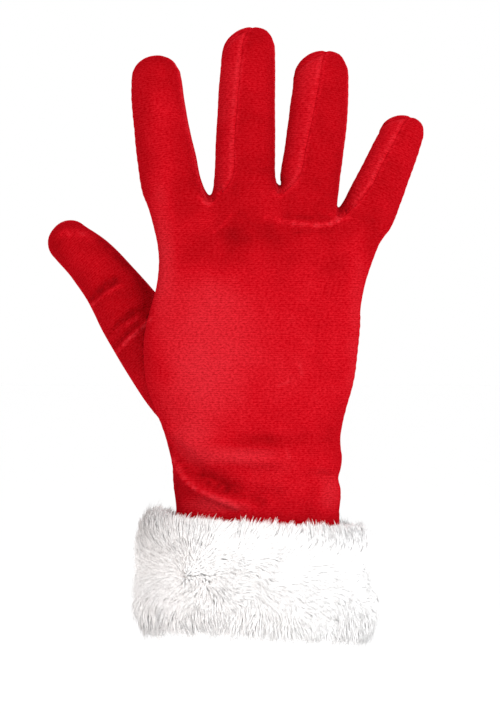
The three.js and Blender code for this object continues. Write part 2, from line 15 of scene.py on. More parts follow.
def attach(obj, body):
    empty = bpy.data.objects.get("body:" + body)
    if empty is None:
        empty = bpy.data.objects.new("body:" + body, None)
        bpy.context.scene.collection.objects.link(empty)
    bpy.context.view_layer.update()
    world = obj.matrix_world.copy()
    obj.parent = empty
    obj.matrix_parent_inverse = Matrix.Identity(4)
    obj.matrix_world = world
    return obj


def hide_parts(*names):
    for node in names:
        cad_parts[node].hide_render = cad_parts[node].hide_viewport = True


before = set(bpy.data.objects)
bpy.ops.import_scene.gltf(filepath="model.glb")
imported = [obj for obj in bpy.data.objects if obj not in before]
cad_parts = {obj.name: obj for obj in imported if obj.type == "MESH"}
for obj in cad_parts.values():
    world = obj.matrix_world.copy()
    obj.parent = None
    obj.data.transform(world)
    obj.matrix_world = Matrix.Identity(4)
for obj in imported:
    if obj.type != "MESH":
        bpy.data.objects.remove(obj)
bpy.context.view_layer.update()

MM = 0.001

# Cloth
WALL = 1.2
JOIN_GAP = 0.04  # between the thumb's root and the hand
ROW_STEP = 0.8  # between rows of points where the cloth shows
HIDDEN_ROW_STEP = 2.6  # up to the next height, under the fur
HIDDEN_HEIGHT = 41
ROOT_SPAN = 14  # from the hand's last section to the finger roots
STRIP_COLUMNS = 26  # across one finger, on each face
SIDE_COLUMNS = 12  # across a side strip
FIRST_STRIP = 2  # the number of the first side strip among the hand's panels
THUMB_COLUMNS = 64
SIDE_CLOTH_WIDTH = 11  # of a side strip
THUMB_GIRTH = 72
TANGENT_STEP = 1e-4
WELD_STEP = 1e-3  # vertices whose places round alike are one
WELD_SHIFT = 0.317  # keeps round places off the edge of a rounding

# Sections across the hand: its left and right edges, their y, and how far back and palm stand off it
Section = namedtuple("Section", "z left right edge back palm round")
HAND = [Section(*row) for row in (
    *((z, -32, 32, 0, 21, 21, 0.85) for z in (0, 21, 41)),
    (45, -31.6, 31.9, 0, 21, 21, 0.85),
    (49, -32, 32.3, 0, 21, 21, 0.85),
    (53, -32.6, 32.3, 0, 21, 20.8, 0.85),
    (57, -32.9, 31.5, 0, 20.8, 20.6, 0.84),
    (61, -33.1, 32.5, 0, 20.5, 20.4, 0.83),
    (65, -33.8, 32.9, 0, 20.1, 20.2, 0.82),
    (69, -34.8, 32.4, 0, 19.6, 20, 0.81),
    (73, -35.9, 32.3, -0.2, 19, 20, 0.8),
    (78, -37.6, 33.1, -0.6, 18.2, 20, 0.78),
    (84, -40, 34.6, -1, 17.2, 20, 0.76),
    (91, -42.5, 36.6, -1.6, 15.9, 19.4, 0.74),
    (99, -43.9, 38.2, -2, 14.8, 18.6, 0.72),
    (107, -44.3, 39.1, -2, 14.1, 17.6, 0.7),
    (115, -43.4, 39.8, -1.6, 13.5, 16.4, 0.67),
    (123, -41.5, 40.3, -1, 12.9, 15, 0.64),
    (131, -39.7, 42, -0.4, 12.5, 13.6, 0.61),
    (139, -39.1, 44.8, 0, 12.2, 12.4, 0.58),
    (147, -39.7, 47.8, 0.2, 11.8, 11.6, 0.56),
)]
# The row of finger roots, from its left end to its right end
ROOT_ENDS = np.array([[-43.4, -0.6, 161], [52.6, 0.8, 153.4]])
ROOT_DEPTH = {"back": 11.2, "palm": 10.6}
ROOT_ROUND = 0.5
ROOT_VALLEY = 4.6  # width of the dip at each web
ROOT_CROWDING = 0.035  # how far a root's columns crowd towards its ends

Ring = namedtuple("Ring", "x y z width depth")  # the columns of FINGERS and THUMB
FINGERS = {
    "index": [
        (-31, -0.6, 161, 12.2, 10.6),
        (-33.2, -0.8, 169.5, 11.8, 10),
        (-35.1, -0.6, 180, 11.4, 9.7),
        (-36.9, 0.4, 191, 10.7, 9.4),
        (-38.4, 2, 202, 10.3, 9),
        (-39, 3.3, 209.6, 9.8, 8.4),
    ],
    "middle": [
        (-4.8, -2, 165, 13.1, 11),
        (-4.8, -2.2, 172, 11.9, 10.2),
        (-4.7, -2, 183, 11.5, 9.9),
        (-4.4, -1, 195, 11.2, 9.6),
        (-4, 0.8, 208, 10.8, 9.2),
        (-3.5, 2.8, 219.6, 10.3, 8.6),
    ],
    "ring": [
        (19.8, -1.2, 163, 12.2, 10.8),
        (20.2, -1.4, 172.5, 11.6, 10),
        (21.6, -1, 182, 11.4, 9.7),
        (22.9, 0, 192, 11.3, 9.4),
        (24, 1.8, 203, 11, 9),
        (24.5, 3.2, 210.6, 10.6, 8.5),
    ],
    "little": [
        (42.2, 0.8, 158, 11.3, 10),
        (46.2, 0.8, 167, 10.1, 9.2),
        (48.8, 1.4, 173, 9.6, 8.8),
        (51.4, 2.4, 179, 9.2, 8.4),
        (53.6, 3.6, 184.2, 8.8, 8),
        (55.2, 4.6, 188.4, 8.5, 7.5),
    ],
}
FINGER_NAMES = list(FINGERS)
Tip = namedtuple("Tip", "height shift")
TIPS = {"index": Tip(10.2, 0.2), "middle": Tip(11.2, 2), "ring": Tip(11.2, 1.4), "little": Tip(8.8, 1.6)}
TIP_ROUND = 0.8
TIP_ANGLES = (18, 36, 56, 70, 81)
STRIP_TIP = 56  # the tip angle where a side strip comes to its point

# Seams in degrees from the middle of a finger's back, the back panel's at its root and at its tip
Seams = namedtuple("Seams", "back_left back_right palm_right palm_left")
SEAMS = {
    "index": Seams((-90, -90), (66, 66), 126, -90),
    "middle": Seams((-29, -15), (78, 78), 128, -98),
    "ring": Seams((-28, -2), (78, 78), 128, -98),
    "little": Seams((-22, -6), (90, 90), 90, -98),
}
Web = namedtuple("Web", "name x back_y back_z palm_y palm_z")
WEBS = [
    Web("index_middle", -18.6, -9, 163.2, 8.6, 165.4),
    Web("middle_ring", 8.6, -9.8, 166.4, 8.4, 169.6),
    Web("ring_little", 31.2, -8.2, 157, 8.6, 161.4),
]
WEB_ARCH = 1.6

THUMB = [
    (-20, 6, 76, 11, 7.6),
    (-30, 11, 91.7, 14, 11.4),
    (-38.4, 12.6, 104.4, 14, 11.6),
    (-48.2, 15.4, 118.8, 13, 11),
    (-57.6, 18.6, 132.4, 11, 10),
    (-65.4, 21.6, 141.6, 9.9, 9),
    (-73, 24.4, 148.2, 8.7, 8),
]
THUMB_TIP = Tip(8.4, 0)

# Mounds, folds and dents, each along a path of (x, z) points on one face, with a Gaussian section
Fold = namedtuple("Fold", "face path width height")
RELIEF = [Fold(*row) for row in (
    ("palm", [(-16, 84), (-36, 107)], 13, 8),
    ("palm", [(21, 78), (26, 112)], 13, 3.2),
    ("palm", [(2, 98), (5, 126)], 15, -3.2),
    ("palm", [(-26, 148), (8, 152), (40, 145)], 8, 1.4),
    ("back", [(-29, 149), (-31, 153)], 8, 0.9),
    ("back", [(-5, 152), (-5, 157)], 8, 1.2),
    ("back", [(18, 149), (19, 154)], 8, 0.8),
    ("back", [(37, 141), (40, 146)], 7, 0.8),
    ("back", [(13, 156.5), (22, 153.8), (31, 155.8)], 2.6, 1),
    ("back", [(-36, 75), (-32, 63), (-19, 51.5), (-6, 49.5)], 3.6, 1.8),
    ("back", [(-33, 70), (-23, 60.5), (-12, 54), (7, 51)], 3.6, -2),
    ("back", [(-27, 72), (-14, 65.5), (6, 65)], 4, 1.4),
    ("back", [(-7, 71.5), (26, 70)], 4, -1.1),
    ("back", [(20, 58), (33, 57)], 2.8, -1),
    ("palm", [(-28, 62), (0, 58), (28, 60)], 3.6, -1.3),
    ("palm", [(-16, 69), (26, 67)], 4, 0.9),
)]
# Finer creases, which only the cloth of this scene carries
CREASES = [Fold("back", *row) for row in (
    ([(-33, 65), (-30.4, 60.4), (-27.9, 57), (-24.6, 53.8), (-16.4, 50), (-8, 46.2)], 1.1, 1.1),
    ([(-34.4, 69.4), (-27.9, 61.8), (-18.3, 56.4), (-6.7, 51.4), (1, 48.5)], 2.0, -1.8),
    ([(-34, 76), (-26, 68), (-18, 62), (-6, 58.5)], 2.4, 0.7),
    ([(-17, 67.5), (-6, 65.2), (5, 64)], 2.6, 0.9),
    ([(-4, 71.5), (8, 71), (18, 72.5)], 3.0, -0.7),
    ([(-14, 60.5), (-2, 59.5), (10, 59.8)], 3.0, -0.9),
    ([(31.5, 57.6), (25, 58.4)], 1.1, -0.9),
    ([(31.5, 71.8), (26, 70.6)], 1.4, -0.5),
    ([(3, 157.4), (9, 155.4), (16.4, 154.2), (22, 153.8), (28, 154.5), (32, 156.2)], 1.2, 0.6),
    ([(14, 157), (22, 156.2), (29, 158)], 1.5, -0.6),
    ([(12, 152), (22, 151.2), (31, 152.8)], 1.4, -0.3),
    ([(45.8, 149.5), (41, 146)], 1.5, -0.6),
    ([(42.4, 136), (38.5, 134)], 1.5, -0.5),
)]
# The thumb's mounds, folds and creases
THUMB_RELIEF = [Fold("back", *row) for row in (
    ([(-66, 125), (-52, 136)], 3, -1),
    ([(-58, 110), (-43, 122)], 3.2, -1.4),
    ([(-56, 106), (-43, 116)], 3, 1),
    ([(-57.4, 111.6), (-53, 117), (-48, 121)], 1.5, -1.4),
    ([(-57.8, 109.2), (-53, 114.4), (-47.5, 117.6)], 0.9, 0.7),
    ([(-55.8, 107), (-51, 112), (-46, 116.4)], 1.3, -1.4),
    ([(-54.5, 105.2), (-50, 110), (-45, 114.4)], 0.9, 1.0),
    ([(-64, 126.4), (-59.5, 130.5), (-55, 134)], 1.4, -1.4),
    ([(-63.6, 124.2), (-58.8, 128.4), (-54, 130.8)], 0.9, 0.7),
    ([(-60, 118.4), (-55, 123.6), (-50, 126.4)], 2.4, -0.6),
    ([(-70, 143), (-60, 141)], 2.8, 0.5),
)]
FACE_SIGN = {"back": -1, "palm": 1}
FOLD_FACING = (0.25, 0.75)  # how squarely the cloth faces a fold's side where it sets in, and is whole

# How the nap lies, from 0, flat and darkest, to 1, brushed up and frosted, by patches; most patches paint
# light into it: painted highlight over the back of the hand, on the crests of the wrist's folds and along its
# edges, and painted shade above the wrist's bright band
NapAndLightPatch = namedtuple("NapAndLightPatch", "x z across along amount")
NAP_LEVEL = 0.28
STRIP_PAINTED_LIGHT = 0.2  # painted light added on the side strips, which face away from the key lamp, so that they show as bright as the fingers' faces; their nap also runs the other way
NAP_AND_LIGHT_FACING = (0, 0.5)  # the same for the patches and strokes of the nap, with their painted highlight and painted shade, on the back
PATCH_FALLOFF = 1.3
NAP_AND_LIGHT_PATCHES = [NapAndLightPatch(*row) for row in (
    # painted highlight: a broad soft patch over the back of the hand, brightest left of its middle, and a
    # bright rim along its left edge
    (4, 104, 46, 44, 0.20),
    (-20, 110, 17, 27, 0.36),
    (-25, 86, 12, 16, 0.20),
    (-37, 140, 6, 20, 0.36),
    (-12, 145, 17, 10, -0.07),
    (-8, 147, 6, 7, -0.08),
    (6, 152, 22, 7, -0.07),
    # painted highlight on the crests of the wrist's folds, with painted shade above its brightest band
    (-8, 66, 13, 3.4, 0.42),
    (-25, 69, 9, 10, 0.32),
    (5, 71.5, 15, 2.6, -0.20),
    (-16, 47, 13, 3.6, 0.45),
    (28, 50, 5, 7, 0.30),
    (10, 56, 24, 12, 0.14),
    # painted highlight along the hand's right edge and the index finger's left edge
    (39, 110, 5, 40, 0.20),
    (-37, 180, 5, 30, 0.16),
    (-52, 120, 9, 16, -0.06),
)]
# and by strokes along folds: painted highlight along a crest and painted shade in a hollow, on nap brushed up
# on the crest and pressed flat in the hollow; also painted shadow beside the wrist, painted highlight and
# shade on the thumb, and a few short strokes of lint
Stroke = namedtuple("Stroke", "path width amount")
NAP_AND_LIGHT_STROKES = [Stroke(*row) for row in (
    # painted highlight on the wrist fold's crest, painted shade in the hollow above it, and painted shadow
    # down the wrist's left side
    ([(-32.6, 64.2), (-30.4, 60.4), (-27.9, 57), (-24.6, 53.8), (-16.4, 50), (-8, 46.2)], 0.9, 0.85),
    ([(-33.7, 68.7), (-27.9, 61.8), (-18.3, 56.4), (-6.7, 51.4), (1, 48.5)], 2.3, -0.3),
    ([(-31.8, 62), (-31, 50), (-30.4, 44)], 1.5, -0.24),
    # painted highlight on the crest of the fold below the ring and little fingers, and painted shade above
    # and below it
    ([(14, 154.6), (22.1, 153.8), (27.9, 154.6), (30.9, 156)], 0.9, 0.7),
    ([(2.9, 157.3), (8.7, 155.5), (15, 154.5)], 1.2, 0.25),
    ([(12, 157.4), (22, 156.6), (29, 158)], 1.3, -0.14),
    ([(14, 151.6), (22, 151.2), (29, 152.2)], 1.3, -0.12),
    # painted highlights at the bottoms of the webs
    ([(-22.4, 164.6), (-19.6, 161.8), (-17, 162.2)], 0.7, 0.4),
    ([(-16.6, 163.2), (-14.4, 166.6), (-14, 170)], 0.7, 0.35),
    ([(5.6, 166.4), (8.4, 164.6), (10.8, 166.2)], 0.7, 0.35),
    ([(28, 158.2), (31, 156), (35, 156.8)], 0.7, 0.4),
    # short strokes of lint
    ([(-16.9, 151), (-13.1, 154), (-9.8, 158)], 0.5, 0.35),
    ([(17, 97), (15.6, 101.6)], 0.5, 0.35),
    ([(8, 92.6), (12, 94.2)], 0.5, 0.35),
    ([(12, 65), (11, 69)], 0.5, 0.35),
    # painted highlights on the ridges of the thumb's creases, and painted shade in the creases
    ([(-57.8, 109.6), (-53.4, 114.8), (-46.8, 118.6)], 0.8, 0.5),
    ([(-57, 111.6), (-52.6, 117), (-47, 121), (-41.5, 123.6)], 1.5, -0.2),
    ([(-54.5, 105.2), (-50, 110), (-45, 114.4), (-41.4, 118)], 0.8, 0.8),
    ([(-55.6, 107), (-51, 112), (-46, 116.2), (-41.4, 120.6)], 1.3, -0.2),
    ([(-64.6, 123.4), (-58.8, 128.4), (-53, 131)], 0.8, 0.5),
    ([(-64.6, 125.6), (-59.4, 130.6), (-54, 134)], 1.4, -0.2),
    # painted highlight on the thumb's tip, and painted shade along its upper edge
    ([(-75, 151.6), (-70, 152), (-64, 150)], 1.8, 0.4),
    ([(-62, 150), (-51.6, 140.6), (-42, 130)], 2.0, -0.2),
)]
# and by lines along each seam: painted shade in its groove and a painted highlight on its edge, on nap
# pressed flat in it and raised beside it
SeamLine = namedtuple("SeamLine", "away width amount")
SEAM_FRAY_AND_HIGHLIGHT = SeamLine(0.9, 0.6, 0.34)  # raised nap and a painted highlight beside it
SEAM_PRESS_AND_SHADE = SeamLine(0, 0.45, -0.2)  # nap pressed flat and painted shade in its groove
BREAKUP_LEVEL = 0.6  # mean share of the amount of a stroke or raised seam
BREAKUP_SWING = 0.9
BREAKUP_SIZE = 1.8

# Seams in the cloth: a groove, and small gathers beside it
GROOVE_DEPTH = 0.4
GROOVE_WIDTH = 0.8
GATHER_HEIGHT = 0.08
GATHER_REACH = 2.4
GATHER_PITCH = 3.3
UNDULATION = ((11.0, 0.16), (4.2, 0.05))  # wavelength and height of the cloth's unevenness
CLOTH_FREE = (30, 40)  # between these heights the cloth comes free of the cuff's smooth backing

# The hand is smoothed round its finger roots, fading in and out at these heights
SMOOTHING_IN = (118, 140)
SMOOTHING_OUT = (168, 182)
SMOOTHING_ROUNDS = 14

# Fur cuff
CUFF_GAP = 0.06  # between the wrist and the backing
CUFF_SLOPE = 0.055  # its drop for each mm to the right
# The backing's section, out and up from the wrist, from its hem's inner edge to its top's
CORE_SECTION = [
    (0.0, 5.0), (3.6, 1.6), (9.8, 1.6), (12.0, 6.5), (11.2, 20),
    (10.8, 31), (8.6, 35.6), (3.6, 36.4), (0.0, 33.2),
]
CORE_COLUMNS = 120
CUFF_GIRTH = 230
STRAND_COUNT = 70000
STRAND_SECTORS = 5  # the pile's meshes, round the cuff
STRAND_ROOTS = (0.05, 0.95)  # the share of the section that bears pile
STRAND_LENGTH = 5.8
TUFT_LENGTHS = (0.94, 1.06)  # least and most, as shares of the length
STRAND_LENGTHS = (0.8, 1.05)  # the same within a tuft
LONG_SHARE = 0.2  # of the strands stand out of the pile
LONG_LENGTH = 1.2
CORNER_LENGTH = 0.35  # how much longer the pile is at the cuff's rounded corners
CORNER = (0.15, 0.45)  # on a scale from 0, where the section is flat, to 0.5, half way round a corner
THUMB_SIDE_LENGTH = 0.3  # how much longer it is at the cuff's left end
THUMB_SIDE = (28, 42)  # how far to the left that sets in, and is whole
STRAND_RADII = (0.38, 0.27)  # at the root and half way up
STRAND_SOFTNESS = 0.95  # how far the pile is shaded as one soft surface
TUFT_SPACING = 2.8
TUFT_PULL = 0.05  # share of the way to its tuft's middle that a strand's tip is drawn
TUFT_LEAN = 0.08
STRAND_LEAN = 0.06
SLOPE_STEP = 0.04
LEAST_OUTWARD = 0.05  # of a strand's own direction
SEED = 12

# How the pile lies
SWIRLS = ((9.0, 1.0), (3.5, 0.5))  # size and amount of the noise that turns it
SWIRL_TURN = 0.9
PARTING_X = -25.0  # where the pile parts to the left and right
PARTING_HALF = 7.0  # half the parting's width
LEVEL_SHARE = 0.55  # of the section, where it lies level: down below that, and up above it
CLIMB_RATE = 4
CLIMB_SWIRL = 0.5
CLIMB_LIMIT = 0.9
FLOW = 0.9  # how far it lies over
LEAST_FLOW = 0.15
RIM = (0.30, 0.44)  # how far from the section's middle it starts to stand out straight, and does
TOP_SWEEP = 0.3  # how far it is swept to the side along the top
TOP_SWEEP_LEVEL = 0.4
TOP_SHARE = (0.72, 0.86)
# A strand's rise and run, at a share t of it
RISE = 0.85
DROOP = 0.42  # of a strand that lies down, times t squared
RUN = 0.3
BEND = 0.5  # times t squared


def mix(a, b, share):
    return a + (b - a) * share


def smoothstep(value, low, high):
    t = np.clip((value - low) / (high - low), 0, 1)
    return t * t * (3 - 2 * t)


def bell(distance, width):
    return np.exp(-((distance / width) ** 2))


def unit(rows):
    return rows / np.linalg.norm(rows, axis=1, keepdims=True)


def noise_at(places, size):
    """Smooth noise of that size, the same on each run."""
    return np.array([noise.noise(Vector(p / size)) for p in places])


def spline(points, at):
    """A centripetal Catmull-Rom line through points (..., n, k), whose first three values are a place, at the
    positions `at`, counted in its own points."""
    first = 2 * points[..., :1, :] - points[..., 1:2, :]
    last = 2 * points[..., -1:, :] - points[..., -2:-1, :]
    padded = np.concatenate([first, points, last], axis=-2)
    i = np.clip(np.floor(at).astype(int), 0, points.shape[-2] - 2)
    w = (at - i)[:, None]
    p0, p1, p2, p3 = (padded[..., i + k, :] for k in range(4))

    def knot(a, b):
        return np.sqrt(np.maximum(np.linalg.norm((a - b)[..., :3], axis=-1, keepdims=True), 1e-6))

    d0, d1, d2 = knot(p0, p1), knot(p1, p2), knot(p2, p3)
    t1 = d1 * ((p1 - p0) / d0 - (p2 - p0) / (d0 + d1) + (p2 - p1) / d1)
    t2 = d1 * ((p2 - p1) / d1 - (p3 - p1) / (d1 + d2) + (p3 - p2) / d2)
    return p1 + w * t1 + w**2 * (3 * (p2 - p1) - 2 * t1 - t2) + w**3 * (2 * (p1 - p2) + t1 + t2)


def positions(steps):
    """Where a line's points go, counted in its given points, with that many steps in each interval."""
    inner = [i + np.arange(n) / n for i, n in enumerate(steps)]
    return np.concatenate([*inner, [len(steps)]])


class Limb:
    """Rings across a finger or the thumb, the smaller rings of its rounded tip, and the tip itself."""

    def __init__(self, rows, tip):
        sections = [Ring(*row) for row in rows]
        places = np.array([s[:3] for s in sections], float)
        at = np.arange(len(sections), dtype=float)
        span = len(sections) - 1
        near = TANGENT_STEP * span
        ahead = spline(places, np.clip(at + near, 0, span))
        behind = spline(places, np.clip(at - near, 0, span))
        self.rings = []
        for place, along, section in zip(places, ahead - behind, sections):
            self.rings.append(self.ring(place, along, section.width, section.depth))
        centre, along, across, _, width, depth = self.rings[-1]

        def rise(share):
            return centre + along * tip.height * share + across * tip.shift * share**2

        for angle in np.radians(TIP_ANGLES):
            size = np.cos(angle) ** TIP_ROUND
            self.rings.append(self.ring(rise(np.sin(angle)), along, width * size, depth * size))
        self.tip = rise(1.0)
        spans = [np.linalg.norm(b[0] - a[0]) for a, b in zip(self.rings, self.rings[1:])]
        spans.append(np.linalg.norm(self.tip - self.rings[-1][0]))
        self.lengths = np.concatenate([[0], np.cumsum(spans)])

    @staticmethod
    def ring(centre, along, width, depth):
        along = along / np.linalg.norm(along)
        across = np.array([1.0, 0, 0]) - along * along[0]
        across /= np.linalg.norm(across)
        return centre, along, across, np.cross(across, along), width, depth

    def point(self, ring, degrees):
        """Points at those angles, from the middle of the back towards +X."""
        centre, _, across, back, width, depth = self.rings[ring]
        a = np.radians(np.asarray(degrees, float))[..., None]
        return centre + across * width * np.sin(a) + back * depth * np.cos(a)


LIMBS = [Limb(FINGERS[name], TIPS[name]) for name in FINGER_NAMES]
SECTION_COUNT = len(FINGERS["index"])
RING_COUNT = len(LIMBS[0].rings)
STRIP_END = SECTION_COUNT + TIP_ANGLES.index(STRIP_TIP)
TAPER_START = SECTION_COUNT - 2


def hand_steps():
    """How many rows of faces lie between the hand's sections, and up to the finger roots."""
    heights = [s.z for s in HAND]
    steps = []
    for low, high in zip(heights, heights[1:]):
        step = HIDDEN_ROW_STEP if high <= HIDDEN_HEIGHT else ROW_STEP
        steps.append(round((high - low) / step))
    return [*steps, round(ROOT_SPAN / ROW_STEP)]


def finger_steps():
    lengths = np.mean([limb.lengths for limb in LIMBS], axis=0)
    return [max(2, round(span / ROW_STEP)) for span in np.diff(lengths)]


HAND_STEPS = hand_steps()
FINGER_STEPS = finger_steps()
HAND_ROWS = 1 + sum(HAND_STEPS)
FINGER_ROWS = 1 + sum(FINGER_STEPS)
STRIP_TIP_ROWS = sum(FINGER_STEPS[STRIP_END:])
SPREAD_MIDDLE = ROOT_ENDS[:, 0].mean()
SPREAD_HALF = ROOT_ENDS[1, 0] - SPREAD_MIDDLE


def angle_at(x):
    """The angle round the hand, 0 in the middle of a face, of a place on the finger roots."""
    return np.arcsin(np.clip((x - SPREAD_MIDDLE) / SPREAD_HALF, -1, 1))


def notch(web, face):
    """The bottom of a web on one face."""
    if face == "back":
        return np.array([web.x, web.back_y, web.back_z], float)
    return np.array([web.x, web.palm_y, web.palm_z], float)


def hand_points(angles, face):
    """The hand's sections at those angles: (columns, sections, 3)."""
    rows = []
    for s in HAND:
        half = (s.right - s.left) / 2
        depth = getattr(s, face) * np.maximum(np.cos(angles), 0) ** s.round
        x = s.left + half + half * np.sin(angles)
        rows.append(np.stack([x, s.edge + FACE_SIGN[face] * depth, np.full_like(x, s.z)], axis=-1))
    return np.stack(rows, axis=1)


def root_level(x, face):
    """How deep the row of finger roots lies, without its dips at the webs."""
    edge = np.interp(x, ROOT_ENDS[:, 0], ROOT_ENDS[:, 1])
    return edge + FACE_SIGN[face] * ROOT_DEPTH[face] * np.maximum(np.cos(angle_at(x)), 0) ** ROOT_ROUND


def root_points(finger, share, face):
    """A finger's root line on one face, at those shares of its width."""
    ends = [
        ROOT_ENDS[0] if finger == 0 else notch(WEBS[finger - 1], face),
        ROOT_ENDS[1] if finger == len(WEBS) else notch(WEBS[finger], face),
    ]
    eased = (share - ROOT_CROWDING * np.sin(2 * np.pi * share))[:, None]
    points = mix(ends[0], ends[1], eased)
    dip = np.zeros(len(share))
    for end in ends:
        depth = end[1] - root_level(end[0], face)
        dip += depth * bell(points[:, 0] - end[0], ROOT_VALLEY)
    points[:, 1] = root_level(points[:, 0], face) + dip
    return points


def seam_angle(finger, ring, face, towards):
    """Where a face's seam lies round a ring. The palm's comes to the back's where the strip ends."""
    seams = SEAMS[FINGER_NAMES[finger]]
    share = min(ring / (SECTION_COUNT - 1), 1)
    back = mix(*(seams.back_left if towards == "left" else seams.back_right), share)
    if face == "back":
        return back
    taper = np.clip((ring - TAPER_START) / (STRIP_END - TAPER_START), 0, 1)
    return mix(seams.palm_left if towards == "left" else seams.palm_right, back, taper)


def with_cloth(points, across, along):
    """Adds the cloth's own coordinates, in mm across and along it, to a line of places."""
    shape = points.shape[:-1]
    extra = np.stack([np.broadcast_to(across, shape), np.broadcast_to(along, shape)], axis=-1)
    return np.concatenate([points, extra], axis=-1)


def cloth_along(finger):
    """How far along the cloth a finger's rings lie, counted from the hem."""
    return LIMBS[finger].rings[0][0][2] + LIMBS[finger].lengths


def face_columns(finger, face):
    """A finger's share of a face, below its root and above it: two (columns, rows, 5) arrays."""
    share = np.arange(STRIP_COLUMNS + 1) / STRIP_COLUMNS
    limb = LIMBS[finger]
    root = root_points(finger, share, face)
    angles = angle_at(root[:, 0])
    if finger == 0:
        angles[0] = -np.pi / 2
    if finger == len(WEBS):
        angles[-1] = np.pi / 2
    hand = hand_points(angles, face)
    rings = []
    for r in range(1, RING_COUNT):
        left = seam_angle(finger, r, face, "left")
        right = seam_angle(finger, r, face, "right")
        start = left if face == "back" else 360 + left
        rings.append(limb.point(r, mix(start, right, share)))
    tips = np.broadcast_to(limb.tip, root.shape)
    points = np.concatenate([hand, root[:, None], np.stack(rings, axis=1), tips[:, None]], axis=1)
    along = np.tile([*(s.z for s in HAND), 0, *cloth_along(finger)[1:]], (len(root), 1))
    along[:, len(HAND)] = root[:, 2]
    full = with_cloth(points, 0, along)
    lines = spline(full, positions([*HAND_STEPS, *FINGER_STEPS]))
    low, high = lines[:, :HAND_ROWS], lines[:, HAND_ROWS - 1 :]
    for column, web, reverse in ((0, finger - 1, False), (STRIP_COLUMNS, finger, True)):
        if not 0 <= web < len(WEBS):
            continue
        low[column] = spline(full[column, : len(HAND) + 1], positions(HAND_STEPS))
        line = web_lines(web, np.array([1.0 if face == "back" else 0.0]))[0]
        half = line[:FINGER_ROWS][::-1] if reverse else line[FINGER_ROWS - 1 :]
        high[column, :, :3] = half[:, :3]
    return low, high


def web_lines(web, share):
    """Lines down one finger's side, through the web and up the next: (columns, rows, 5). share is 0 along
    the palm panel's edge and 1 along the back panel's."""

    def side(finger, towards):
        rows = []
        for r in range(1, RING_COUNT):
            palm = seam_angle(finger, r, "palm", towards)
            back = seam_angle(finger, r, "back", towards)
            rows.append(LIMBS[finger].point(r, mix(palm, back, share)))
        rows.append(np.broadcast_to(LIMBS[finger].tip, rows[0].shape))
        return np.stack(rows, axis=1)

    saddle = mix(notch(WEBS[web], "palm"), notch(WEBS[web], "back"), share[:, None])
    saddle[:, 2] += WEB_ARCH * np.sin(np.pi * share)
    points = np.concatenate([side(web, "right")[:, ::-1], saddle[:, None], side(web + 1, "left")], axis=1)
    along = np.concatenate([-LIMBS[web].lengths[:0:-1], [0], LIMBS[web + 1].lengths[1:]])
    full = with_cloth(points, (share * SIDE_CLOTH_WIDTH)[:, None], along)
    return spline(full, positions([*FINGER_STEPS[::-1], *FINGER_STEPS]))


def run_across(columns):
    """How far each place lies from the first column, along its own row."""
    steps = np.linalg.norm(np.diff(columns[..., :3], axis=0), axis=-1)
    return np.concatenate([np.zeros((1, columns.shape[1])), np.cumsum(steps, axis=0)])


def lay_cloth(lows, highs):
    """Gives the columns of a face their cloth coordinate across, measured along each row."""
    hand = run_across(np.concatenate([lows[0], *(low[1:] for low in lows[1:])]))
    hand -= hand[2 * STRIP_COLUMNS]
    middle = STRIP_COLUMNS // 2
    for finger, (low, high) in enumerate(zip(lows, highs)):
        low[..., 3] = hand[finger * STRIP_COLUMNS : (finger + 1) * STRIP_COLUMNS + 1]
        run = run_across(high)
        high[..., 3] = low[middle, -1, 3] + run - run[middle]


def grid_faces(columns):
    """Corners (faces, 4, 5) between columns that run left to right, seen from outside."""
    left, right = columns[:-1], columns[1:]
    corners = np.stack([left[:, :-1], right[:, :-1], right[:, 1:], left[:, 1:]], axis=2)
    return corners.reshape(-1, 4, columns.shape[-1])


class Skin:
    """An outer surface of four-cornered faces that share vertices, each with the number of its panel."""

    def __init__(self, grids):
        corners = np.concatenate([faces for _, faces in grids])
        self.piece = np.concatenate([np.full(len(faces), k) for k, faces in grids])
        self.cloth = corners[..., 3:]
        flat = corners[..., :3].reshape(-1, 3)
        keys = np.round(flat / WELD_STEP + WELD_SHIFT).astype(np.int64)
        _, first, index = np.unique(keys, axis=0, return_index=True, return_inverse=True)
        self.places = flat[first]
        self.faces = index.reshape(-1, 4)
        self.find_normals()

    def find_normals(self):
        p = self.places[self.faces]
        area = np.cross(p[:, 2] - p[:, 0], p[:, 3] - p[:, 1])
        total = np.zeros_like(self.places)
        for k in range(4):
            np.add.at(total, self.faces[:, k], area)
        self.normals = total / np.maximum(np.linalg.norm(total, axis=1, keepdims=True), 1e-12)

    def lift(self, height):
        self.places = self.places + self.normals * height[:, None]
        self.find_normals()

    def relax(self, loose, rounds):
        """Draws the loose vertices towards the middle of their neighbours, a few times."""
        edges = np.unique(np.sort(directed_edges(self.faces), axis=1), axis=0)
        a, b = np.concatenate([edges, edges[:, ::-1]]).T
        count = np.bincount(a, minlength=len(self.places))[:, None]
        for _ in range(rounds):
            total = np.zeros_like(self.places)
            np.add.at(total, a, self.places[b])
            self.places = mix(self.places, total / count, 0.5 * loose[:, None])
        self.find_normals()


def relief_at(places, normals, table):
    """How far a table's folds move each place out."""
    lift = np.zeros(len(places))
    spot = places[:, [0, 2]]
    for fold in table:
        facing = smoothstep(normals[:, 1] * FACE_SIGN[fold.face], *FOLD_FACING)
        lift += facing * fold.height * bell(distance_from(fold.path, spot), fold.width)
    return lift


def uneven(places):
    """Slow unevenness of the cloth."""
    return sum(height * noise_at(places, length) for length, height in UNDULATION)


def directed_edges(faces):
    """Each face's edges, as (from, to) vertices."""
    edges = np.stack([faces, np.roll(faces, -1, axis=1)], axis=-1).reshape(-1, 2)
    return edges[edges[:, 0] != edges[:, 1]]


